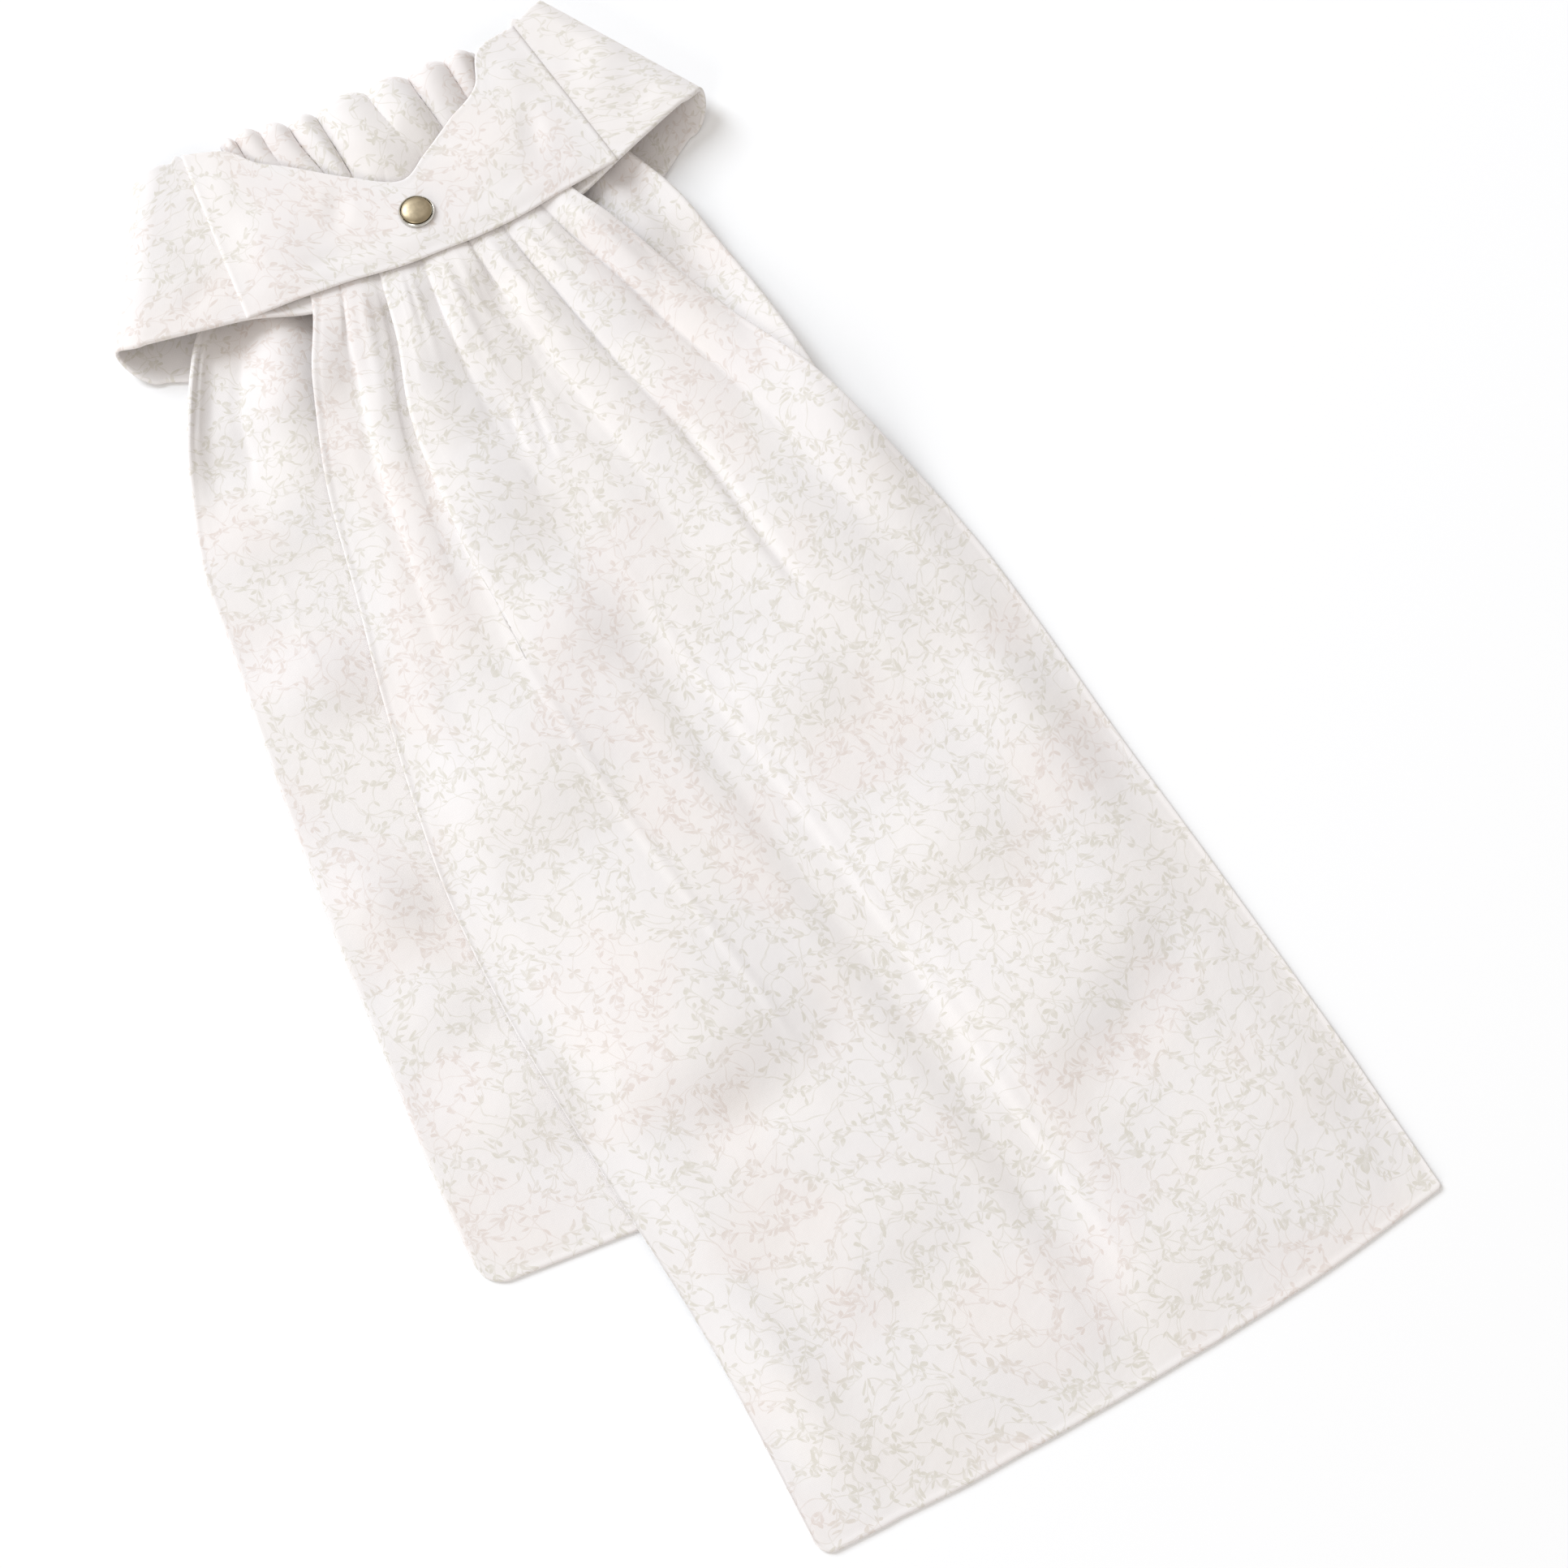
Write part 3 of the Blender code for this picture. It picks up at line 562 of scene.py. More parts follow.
def look_up(rows, station, column=1):
    """A table's column at stations between its rows, on a smooth curve through them."""
    places = np.array([row[0] for row in rows])
    values = np.array([row[column] for row in rows])
    slopes = np.empty(len(rows))
    slopes[1:-1] = (values[2:] - values[:-2]) / (places[2:] - places[:-2])
    slopes[0] = (values[1] - values[0]) / (places[1] - places[0])
    slopes[-1] = (values[-1] - values[-2]) / (places[-1] - places[-2])
    station = np.clip(station, places[0], places[-1])
    index = np.clip(np.searchsorted(places, station, side="right") - 1, 0, len(rows) - 2)
    span = places[index + 1] - places[index]
    t = (station - places[index]) / span
    start = (2 * t**3 - 3 * t**2 + 1) * values[index] + (t**3 - 2 * t**2 + t) * slopes[index] * span
    end = (3 * t**2 - 2 * t**3) * values[index + 1] + (t**3 - t**2) * slopes[index + 1] * span
    return start + end


def swell(table, x, y):
    """Height of a table's soft swells at points of the cloth."""
    height = np.zeros(np.broadcast(x, y).shape)
    for middle_x, middle_y, half_length, up, down, turn, rise in table:
        angle = math.radians(turn)
        along = (x - middle_x) * math.cos(angle) + (y - middle_y) * math.sin(angle)
        across = (y - middle_y) * math.cos(angle) - (x - middle_x) * math.sin(angle)
        reach = np.where(across > 0.0, up, down)
        height = height + rise * bump(np.hypot(along / half_length, across / reach), 1.0)
    return height


def creases(table, x, y):
    """Height of a table's creases at points of the cloth."""
    height = np.zeros(np.broadcast(x, y).shape)
    for half_width, rise, points in table:
        line = np.array(points)
        steps = np.diff(line, axis=0)
        step_lengths = np.hypot(*steps.T)
        total = step_lengths.sum()
        nearest = np.full(height.shape, 1.0)
        fade = np.zeros(height.shape)
        passed = 0.0
        for start, step, length in zip(line[:-1], steps, step_lengths):
            t = np.clip(((x - start[0]) * step[0] + (y - start[1]) * step[1]) / length**2, 0.0, 1.0)
            distance = np.hypot(x - start[0] - t * step[0], y - start[1] - t * step[1])
            along = (passed + t * length) / total
            ends = ease(along / CREASE_FADE) * ease((1.0 - along) / CREASE_FADE)
            fade = np.where(distance < nearest, ends, fade)
            nearest = np.minimum(distance, nearest)
            passed += length
        height = height + rise * fade * bump(nearest, half_width)
    return height


def gathers(table, share, y):
    """Height of a table's gathers at points of a tail, which are full at its root."""
    height = np.zeros(np.broadcast(share, y).shape)
    for place, rise, half_width, fade_y in table:
        strength = soft_step(y, fade_y, PLEAT_FULL_Y)
        height = height + rise * strength * bump(share - place, half_width)
    return height


def hem_y(hem, corners, share, width):
    """Y of a hem with rounded corners, at shares of its width."""
    y = look_up(hem, share)
    for radius, distance in ((corners[0], share * width), (corners[1], (1.0 - share) * width)):
        inside = np.clip(1.0 - distance / radius, 0.0, 1.0)
        y = y + radius * (1.0 - np.sqrt(1.0 - inside**2))
    return y


def under_underside(share, x, y, softness):
    """Height of the under tail's lower face."""
    lift = UNDER_LIFT * soft_step(y, UNDER_LIFT_FROM_Y, UNDER_LIFT_TO_Y)
    relief = softness * (swell(UNDER_SWELLS, x, y) + creases(UNDER_CREASES, x, y))
    relief = relief + gathers(UNDER_GATHERS, share, y)
    return np.maximum(lift + relief, lift * UNDER_LEAST_LIFT)


def front_base(x, y, wall, softness):
    """Height of the front tail's lower face under its pleats: it lies on the under tail."""
    left = look_up(UNDER_EDGES, y, 1)
    right = look_up(UNDER_EDGES, y, 2)
    share = np.clip((x - left) / (right - left), 0.0, 1.0)
    past = np.maximum(COVER_SIDE * (x - right), look_up(UNDER_HEM, share) - y)
    cover = 1.0 - soft_step(past, COVER_CLEAR, COVER_RAMP)
    support = cover * (under_underside(share, x, y, softness) + wall + LAY_GAP)
    rise = soft_step(y, FRONT_RISE_FROM_Y, PLEAT_FULL_Y)
    return np.maximum(support, FRONT_ROOT_RISE * rise)


def lap_path(lap):
    """Section of a pleat that lies over itself: x and height from its visible edge."""
    points = [(-LAP_APPROACH, 0.0), (lap * 0.5, 0.0)]
    for step in range(LAP_TURN_STEPS + 1):
        angle = math.pi * step / LAP_TURN_STEPS - math.pi / 2.0
        points.append((lap + LAP_RADIUS * math.cos(angle), LAP_RADIUS * (1.0 + math.sin(angle))))
    for step in range(LAP_TURN_STEPS + 1):
        angle = math.pi * step / LAP_TURN_STEPS - math.pi / 2.0
        points.append((LAP_RADIUS * (1.0 - math.cos(angle)), LAP_RADIUS * (3.0 + math.sin(angle))))
    points.append((lap * 0.5 + LAP_RADIUS, LAP_RADIUS * 4.0))
    return points


def pleat_columns(pleat, x, y):
    """One pleat's columns: x and height over the base, down all rows."""
    left, right, lap, fade_y = pleat[2:6]
    strength = soft_step(y, fade_y, PLEAT_FULL_Y)
    if lap > 0.0:
        path = lap_path(lap)
        flat_half = 0.5 * (2.0 * lap + 2.0 * math.pi * LAP_RADIUS)
        columns = []
        for index, (path_x, path_z) in enumerate(path):
            flat_x = flat_half * (2.0 * index / (len(path) - 1) - 1.0)
            columns.append((x + mix(flat_x, path_x, strength), path_z * strength))
        return columns
    if left != right:
        half = mix(STEP_HALF * STEP_FADED, STEP_HALF, strength)
        place, part = STEP_BEND
        return [
            (x - half, left * strength),
            (x - half * place, mix(left, right, part) * strength),
            (x + half * place, mix(left, right, 1.0 - part) * strength),
            (x + half, right * strength),
        ]
    return [(x, left * strength)]


def front_grid(down, wall, softness):
    """Points of the front tail's middle surface, rows from the root to the hem."""
    groups = []
    for pleat in PLEATS:
        share = pleat[1]
        y = mix(FRONT_ROOT_Y, hem_y(FRONT_HEM, FRONT_CORNERS, share, FRONT_HEM_WIDTH), down)
        x = mix(look_up(FRONT_EDGES, y, 1), look_up(FRONT_EDGES, y, 2), share)
        if pleat[0] == "deep_lap":
            x = x + look_up(LAP_DRIFT, y)
        groups.append((share, pleat_columns(pleat, x, y), pleat[6]))
    xs, heights, shares = [], [], []
    for index, (share, columns, puff) in enumerate(groups):
        for x, height in columns:
            xs.append(x)
            heights.append(height)
            shares.append(share)
        if index + 1 == len(groups):
            break
        next_share, next_columns, _ = groups[index + 1]
        count = PANEL_COLUMNS[index]
        for step in range(1, count):
            t = step / count
            if index == 0:
                t = t**SIDE_PANEL_POWER
            if index == len(groups) - 2:
                t = 1.0 - (1.0 - t)**SIDE_PANEL_POWER
            middle_y = mix(FRONT_ROOT_Y, look_up(FRONT_HEM, share), down)
            fullness = soft_step(middle_y, PUFF_FADE_Y, PLEAT_FULL_Y)
            sharpness = mix(PUFF_SHARPNESS[0], PUFF_SHARPNESS[1], fullness)
            x = mix(columns[-1][0], next_columns[0][0], t)
            slope = mix(t, ease(t), PANEL_EASE)
            height = mix(columns[-1][1], next_columns[0][1], slope)
            xs.append(x)
            heights.append(height + puff * fullness * math.sin(math.pi * t)**sharpness)
            shares.append(mix(share, next_share, t))
    x = np.stack(xs, axis=1)
    height = np.stack(heights, axis=1)
    share = np.array(shares)[None, :]
    y = mix(FRONT_ROOT_Y, hem_y(FRONT_HEM, FRONT_CORNERS, share, FRONT_HEM_WIDTH), down[:, None])
    shown = 1.0 - ease((y - GATHERS_TO_Y) / GATHERS_END_REACH)
    height = height + shown * gathers(ROOT_GATHERS, share, y)
    height = height + softness * swell(ROOT_SWELLS, x, y)
    yoke_edge = look_up([rib[0:2] for rib in YOKE_RIBS], x)
    press = ease((y - yoke_edge + PRESS_REACH) / PRESS_REACH)
    height = mix(height, PRESS_TOP + (height - PRESS_TOP) * PRESS_SHARE, press)
    loose = 1.0 - ease((y - LOOSE_BELOW_Y) / LOOSE_REACH)
    width = look_up(FRONT_EDGES, y, 2) - look_up(FRONT_EDGES, y, 1)
    from_side = np.minimum(share, 1.0 - share) * width
    from_hem = y - look_up(FRONT_HEM, share)
    loft = FRONT_LOFT * ease(from_side / FRONT_LOFT_REACH[0]) * ease(from_hem / FRONT_LOFT_REACH[1])
    relief = loose * (loft + softness * swell(FRONT_SWELLS, x, y))
    relief = relief + softness * creases(FRONT_CREASES, x, y)
    height = np.maximum(height + relief, 0.0)
    return np.stack((x, y, front_base(x, y, wall, softness) + wall / 2.0 + height), axis=2)


def under_grid(down, wall, softness):
    """Points of the under tail's middle surface, rows from the root to the hem."""
    share = shares_across(UNDER_COLUMNS, UNDER_CLOSER)[None, :]
    y = mix(UNDER_ROOT_Y, hem_y(UNDER_HEM, UNDER_CORNERS, share, UNDER_HEM_WIDTH), down[:, None])
    x = mix(look_up(UNDER_EDGES, y, 1), look_up(UNDER_EDGES, y, 2), share)
    return np.stack((x, y, under_underside(share, x, y, softness) + wall / 2.0), axis=2)


def roll_relief(share, fall):
    """Height of the roll's folds; fall is 0 at its top edge and 1 at the notch."""
    places = [mix(row[0], row[1], fall) for row in ROLL_CREASES]
    depths = [mix(row[2], row[3], fall) for row in ROLL_CREASES]
    height = np.zeros(np.broadcast(share, fall).shape)
    for left, right, depth_left, depth_right in zip(places, places[1:], depths, depths[1:]):
        t = np.clip((share - left) / (right - left), 0.0, 1.0)
        inside = (share >= left) & (share <= right)
        curve = np.sin(math.pi * t)**ROLL_SHARPNESS
        depth = mix(depth_left, depth_right, t)
        height = np.where(inside, ROLL_FOLD_RISE * (1.0 - depth * (1.0 - curve)), height)
    return height


def roll_lift(x, y):
    """Rise of the roll where it comes out over the notch's edge, and 0 to 1 out from there."""
    past = np.clip((y - look_up([rib[2:4] for rib in YOKE_RIBS], x)) / ROLL_LIFT_REACH, 0.0, 1.0)
    out = 1.0 - (1.0 - past)**ROLL_LIFT_POWER
    return ROLL_LIFT * out, out


def roll_front_z(relief, out, wall):
    """Height of the roll's folds on its front, deeper out in the notch than under the yoke."""
    deeper = (ROLL_DEEPER * out - ROLL_FLATTER * (1.0 - out)) * (relief - ROLL_FOLD_RISE)
    return ROLL_FRONT_RISE + wall / 2.0 + relief + deeper


def roll_grid(wall, softness):
    """Points of the gathered roll, rows from the front tail's root over to the under tail's."""
    root = front_grid(np.array([0.0, 1.0]), wall, softness)[0]
    spread = np.linspace(0.0, 1.0, len(root))
    share = np.linspace(0.0, 1.0, ROLL_COLUMNS)
    start_x = np.interp(share, spread, root[:, 0])
    start_z = np.interp(share, spread, root[:, 2])
    first_y = FRONT_ROOT_Y + STRIP_GAP
    top_relief = roll_relief(share, 0.0)
    top_y = look_up(ROLL_TOP, share) + ROLL_NOTCHING * (top_relief - ROLL_FOLD_RISE)
    turn_y = top_y - ROLL_REACH
    turn_x = mix(ROLL_LEFT_X, ROLL_RIGHT_X, share)
    end_y = UNDER_ROOT_Y + STRIP_GAP
    end_x = mix(look_up(UNDER_EDGES, end_y, 1), look_up(UNDER_EDGES, end_y, 2), share)
    end_z = under_underside(share, end_x, end_y, softness) + wall / 2.0
    rows = []
    for t in np.linspace(0.0, 1.0, ROLL_FRONT_ROWS + 1)[:-1]:
        y = mix(first_y, turn_y, t)
        blend = ease((y - first_y) / ROLL_FRONT_BLEND)
        fall = 1.0 - soft_step(y, ROLL_CREASE_FROM_Y, turn_y)
        x = mix(start_x, turn_x, blend)
        puff_x, puff_y, half_width, half_height, rise = ROLL_PUFF
        puff = rise * bump(np.hypot((x - puff_x) / half_width, (y - puff_y) / half_height), 1.0)
        lift, out = roll_lift(x, y)
        relief = roll_relief(share, fall)
        front_z = roll_front_z(relief, out, wall)
        rows.append((x, y, mix(start_z, front_z, blend) + lift + puff))
    lift, out = roll_lift(turn_x, turn_y)
    front_z = roll_front_z(top_relief, out, wall) + lift
    middle_z = (front_z + end_z) / 2.0
    half_z = (front_z - end_z) / 2.0
    for step in range(ROLL_TURN_ROWS + 1):
        angle = math.pi / 2.0 - math.pi * step / ROLL_TURN_ROWS
        reach = ROLL_REACH - wall / 2.0
        rows.append((turn_x, turn_y + reach * math.cos(angle), middle_z + half_z * math.sin(angle)))
    for step in range(1, ROLL_BACK_ROWS + 1):
        t = step / ROLL_BACK_ROWS
        rows.append((mix(turn_x, end_x, t), mix(turn_y, end_y, t), end_z))
    return np.array([np.stack((x, y + 0.0 * x, z), axis=1) for x, y, z in rows])


def turned_ribs(front_rib, back_rib, turn):
    """Ribs of a wing's rounded end, between the last rib of its front and the first of its back."""
    ribs = []
    for step in range(1, WING_ARC_STEPS):
        angle = math.pi / 2.0 - math.pi * step / WING_ARC_STEPS
        down = (1.0 - math.sin(angle)) / 2.0
        low_x = mix(front_rib[0], back_rib[0], down)
        top_x = mix(front_rib[2], back_rib[2], down)
        out = math.cos(angle)
        ribs.append((
            mix(low_x, turn[0], out),
            mix(front_rib[1], back_rib[1], down) + turn[2] * out**2,
            mix(top_x, turn[1], out),
            mix(front_rib[3], back_rib[3], down) + turn[3] * out**2,
            mix(front_rib[4], back_rib[4], down),
        ))
    return ribs


def refined(ribs, spacing):
    """More ribs on smooth curves through these."""
    ribs = np.array(ribs)
    level = np.hypot(*(ribs[1:, :2] - ribs[:-1, :2]).T)
    steps = level + np.abs(ribs[1:, 4] - ribs[:-1, 4]) + RIB_LEAST_STEP
    stations = np.concatenate(([0.0], np.cumsum(steps)))
    fine = np.linspace(0.0, stations[-1], int(stations[-1] / spacing))
    table = [(place, *rib) for place, rib in zip(stations, ribs)]
    return np.stack([look_up(table, fine, column) for column in range(1, 6)], axis=1)


def rib_grid(ribs, columns):
    """Points up each rib, lower edge to upper edge, closer together near both edges."""
    t = shares_across(columns, BAND_CLOSER)
    low = np.stack((ribs[:, 0], ribs[:, 1], ribs[:, 4]), axis=1)
    top = np.stack((ribs[:, 2], ribs[:, 3], ribs[:, 4]), axis=1)
    return low[:, None, :] + (top - low)[:, None, :] * t[None, :, None]


def wing_grid(front, turn, back, softness):
    """Points of one wing's outer face, tab to centre back."""
    ribs = list(front) + turned_ribs(front[-1], back[0], turn) + list(back)
    grid = rib_grid(refined(ribs, WING_SPACING), WING_COLUMNS)
    x, y, z = grid[:, :, 0], grid[:, :, 1], grid[:, :, 2]
    strength = soft_step(z, *WING_SWELL_Z)
    grid[:, :, 2] = z + softness * swell(WING_SWELLS, x, y) * strength
    return grid


def yoke_grid(softness):
    """Points of the yoke's outer face, left to right."""
    ribs = [rib + (YOKE_TOP,) for rib in YOKE_RIBS]
    grid = rib_grid(refined(ribs, YOKE_SPACING), YOKE_COLUMNS)
    across = np.linspace(0.0, 1.0, len(grid))[:, None]
    side = ease(1.0 - np.minimum(across, 1.0 - across) / YOKE_SIDE_SHARE)
    x, y = grid[:, :, 0], grid[:, :, 1]
    low = ease(1.0 - (y - y[:, :1]) / YOKE_EDGE_REACH)
    grid[:, :, 2] += softness * swell(YOKE_SWELLS, x, y) * (1.0 - side)
    grid[:, :, 2] -= YOKE_SIDE_DROP * side + YOKE_EDGE_DROP * low * (1.0 - side)
    return grid


def lengths(grid, axis):
    """Distance along each line of a grid, from its start."""
    steps = np.linalg.norm(np.diff(grid, axis=axis), axis=2)
    start = np.zeros_like(np.take(steps, [0], axis=axis))
    return np.concatenate((start, np.cumsum(steps, axis=axis)), axis=axis)


def normals(grid, side):
    """Unit normals of a grid's surface."""
    n = np.cross(np.gradient(grid, axis=0), np.gradient(grid, axis=1)) * side
    return n / np.maximum(np.linalg.norm(n, axis=2, keepdims=True), 1e-12)


def edge_rolls(grid, edges, free, hem_from, edge_share):
    """Rise of a shell's outer face along its turned edges; edges are the distances from each."""
    roll = np.zeros(grid.shape[:2])
    turned = [edge for edge, is_free in zip(edges, free) if is_free]
    if turned:
        distance = np.minimum.reduce(turned)
        for place, half_width, rise in (EDGE_ROLL, EDGE_DIP):
            roll += edge_share * rise * bump(distance - place, half_width)
    if hem_from is not None:
        strength = ease((grid[:, :, 1] - hem_from) / HEM_FADE)
        for place, half_width, rise in HEM_ROLLS:
            roll += strength * rise * bump(edges[2] - place, half_width)
    return roll


def closed_faces(rows, columns, side):
    """Faces of a closed sheet, whose points are an outer grid and then an inner one."""
    index = np.arange(rows * columns).reshape(rows, columns)
    a, b, c, d = index[:-1, :-1], index[1:, :-1], index[1:, 1:], index[:-1, 1:]
    order = (a, b, c, d) if side > 0 else (a, d, c, b)
    top = np.stack(order, axis=-1).reshape(-1, 4)
    bottom = top[:, ::-1] + rows * columns
    rim = np.concatenate((index[0, :-1], index[:-1, -1], index[-1, :0:-1], index[:0:-1, 0]))
    after = np.roll(rim, -1)
    ends = np.stack((rim, after, after + rows * columns, rim + rows * columns), axis=1)
    if side < 0:
        ends = ends[:, ::-1]
    return np.concatenate((top, bottom, ends))


def shell(name, grid, wall, face, side=1, free=(True,) * 4, hem_from=None, edge_share=1.0):
    """A closed sheet of cloth over a grid of points, with rounded, softly rolled free edges.

    face is 0 where the points lie in the middle of the wall and 1 where they lie on its outer
    face. side is -1 where the grid's rows and columns turn the other way. free says which edges
    are turned edges: first row, last row, first column and last column. edge_share is the share
    of the usual roll that they have. From y hem_from up, the first column shows its turned hem.
    """
    rows, columns = grid.shape[:2]
    up = normals(grid, side)
    down_length = lengths(grid, 0)
    across_length = lengths(grid, 1)
    edges = (
        down_length,
        down_length[-1:] - down_length,
        across_length,
        across_length[:, -1:] - across_length,
    )
    inside = np.clip(1.0 - np.minimum.reduce(edges) / (wall * EDGE_ROUNDING), 0.0, 1.0)
    fullness = np.maximum(np.sqrt(1.0 - inside**2), EDGE_FULLNESS)
    roll = edge_rolls(grid, edges, free, hem_from, edge_share)
    middle = grid - up * (wall / 2.0 * face)
    thick = (wall / 2.0 * fullness)[:, :, None]
    outer = middle + up * (thick + roll[:, :, None])
    inner = middle - up * thick
    points = np.concatenate((outer.reshape(-1, 3), inner.reshape(-1, 3)))
    points += np.array((*FRAME_SHIFT, 0.0))
    points[:, 2] = np.maximum(points[:, 2], LOWEST_POINT)
    faces = closed_faces(rows, columns, side)
    mesh = bpy.data.meshes.new(name)
    mesh.from_pydata(points.tolist(), [], faces.tolist())
    middle_column = columns // 2
    across = across_length - across_length[:, middle_column:middle_column + 1]
    flat = np.stack((across, down_length), axis=2).reshape(-1, 2)
    flat = np.concatenate((flat, flat + np.array(INNER_PLY_PLACE)))
    cloth_map = mesh.uv_layers.new(name="cloth")
    corners = np.empty(len(mesh.loops), dtype=np.int32)
    mesh.loops.foreach_get("vertex_index", corners)
    cloth_map.data.foreach_set("uv", flat[corners].astype(np.float32).ravel())
    mesh.shade_smooth()
    mesh.update()
    thing = bpy.data.objects.new(name, mesh)
    bpy.context.scene.collection.objects.link(thing)
    return thing


def down_rows(length, count):
    """Shares down a tail, further apart as they go down, and close together at its hem."""
    t = np.linspace(0.0, 1.0, count)
    down = (1.0 - ROW_SPREAD) * t + ROW_SPREAD * t * t
    close = 1.0 - np.array(HEM_CLOSE_ROWS) / length
    return np.concatenate((down[down < close[0] - HEM_CLEAR_SHARE], close))


class Nodes:
    """Adds and joins nodes in one tree, left to right."""

    def __init__(self, tree):
        self.tree = tree
        self.count = 0

    def add(self, kind, inputs=None, **settings):
        """A node with its settings and inputs; an input is a value or another node's output."""
        node = self.tree.nodes.new(kind)
        node.location = (180.0 * (self.count % 24), -220.0 * (self.count // 24))
        self.count += 1
        for key, value in settings.items():
            setattr(node, key, value)
        for key, value in (inputs or {}).items():
            self.put(value, node, key)
        return node

    def put(self, value, node, key):
        """Link another node's output to a node's input, or set the input to a value."""
        if isinstance(value, bpy.types.NodeSocket):
            self.tree.links.new(value, node.inputs[key])
        else:
            node.inputs[key].default_value = value

    def math(self, operation, first, second=0.0):
        """The result of a Math node."""
        node = self.add("ShaderNodeMath", {0: first, 1: second}, operation=operation)
        return node.outputs[0]

    def vector(self, operation, first, second=(0.0, 0.0, 0.0), output=0):
        """The result of a Vector Math node."""
        node = self.add("ShaderNodeVectorMath", {0: first, 1: second}, operation=operation)
        return node.outputs[output]

    def scaled(self, vector, factor):
        """A vector times a number."""
        inputs = {0: vector, "Scale": factor}
        return self.add("ShaderNodeVectorMath", inputs, operation="SCALE").outputs[0]

    def step(self, value, low, high, to_low=0.0, to_high=1.0):
        """Smooth step of a value: to_low where it is low, to_high where it is high."""
        inputs = {
            "Value": value,
            "From Min": low,
            "From Max": high,
            "To Min": to_low,
            "To Max": to_high,
        }
        node = self.add("ShaderNodeMapRange", inputs, interpolation_type="SMOOTHSTEP")
        return node.outputs["Result"]

    def noise(self, vector, scale, detail=0.0, flat=True, output="Fac"):
        """A noise texture's value, from about 0 to 1, or its colour."""
        inputs = {"Vector": vector, "Scale": scale, "Detail": detail}
        sides = "2D" if flat else "3D"
        return self.add("ShaderNodeTexNoise", inputs, noise_dimensions=sides).outputs[output]

    def group(self, tree, inputs):
        """A node that holds a shared group."""
        return self.add("ShaderNodeGroup", inputs, node_tree=tree)

    def grey(self, value):
        """A grey of this value."""
        inputs = {"Red": value, "Green": value, "Blue": value}
        return self.add("ShaderNodeCombineColor", inputs).outputs[0]

    def blend(self, factor, first, second, mode="MIX"):
        """Two colours mixed."""
        node = self.add("ShaderNodeMix", data_type="RGBA", blend_type=mode)
        for key, value in ((0, factor), (6, first), (7, second)):
            self.put(value, node, key)
        return node.outputs[2]


def new_group(name, inputs, outputs):
    """An empty shader node group with these sockets, its nodes, and its input and output."""
    group = bpy.data.node_groups.new(name, "ShaderNodeTree")
    for socket_name, kind, value in inputs:
        socket = group.interface.new_socket(name=socket_name, in_out="INPUT", socket_type=kind)
        if value is not None:
            socket.default_value = value
    for socket_name, kind in outputs:
        group.interface.new_socket(name=socket_name, in_out="OUTPUT", socket_type=kind)
    nodes = Nodes(group)
    return group, nodes, nodes.add("NodeGroupInput"), nodes.add("NodeGroupOutput")


def stem_field():
    """Node group: distance to the nearest curling stem, and the direction away from it."""
    name = "stem_field"
    if name in bpy.data.node_groups:
        return bpy.data.node_groups[name]
    group, nodes, given, result = new_group(
        name,
        [("Vector", "NodeSocketVector", None), ("Spread", "NodeSocketFloat", 0.07)],
        [("Distance", "NodeSocketFloat"), ("Away", "NodeSocketVector")],
    )
    vector, spread = given.outputs["Vector"], given.outputs["Spread"]
    reach = STEM_SLOPE_REACH
    here = nodes.noise(vector, spread)
    right = nodes.noise(nodes.vector("ADD", vector, (reach, 0.0, 0.0)), spread)
    above = nodes.noise(nodes.vector("ADD", vector, (0.0, reach, 0.0)), spread)
    slope_x = nodes.math("DIVIDE", nodes.math("SUBTRACT", right, here), reach)
    slope_y = nodes.math("DIVIDE", nodes.math("SUBTRACT", above, here), reach)
    slope = nodes.add("ShaderNodeCombineXYZ", {"X": slope_x, "Y": slope_y}).outputs[0]
    steepness = nodes.math("MAXIMUM", nodes.vector("LENGTH", slope, output="Value"), STEM_LEAST_SLOPE)
    distance = nodes.math("DIVIDE", nodes.math("SUBTRACT", here, 0.5), steepness)
    nodes.put(distance, result, "Distance")
    nodes.put(nodes.vector("NORMALIZE", slope), result, "Away")
    return group


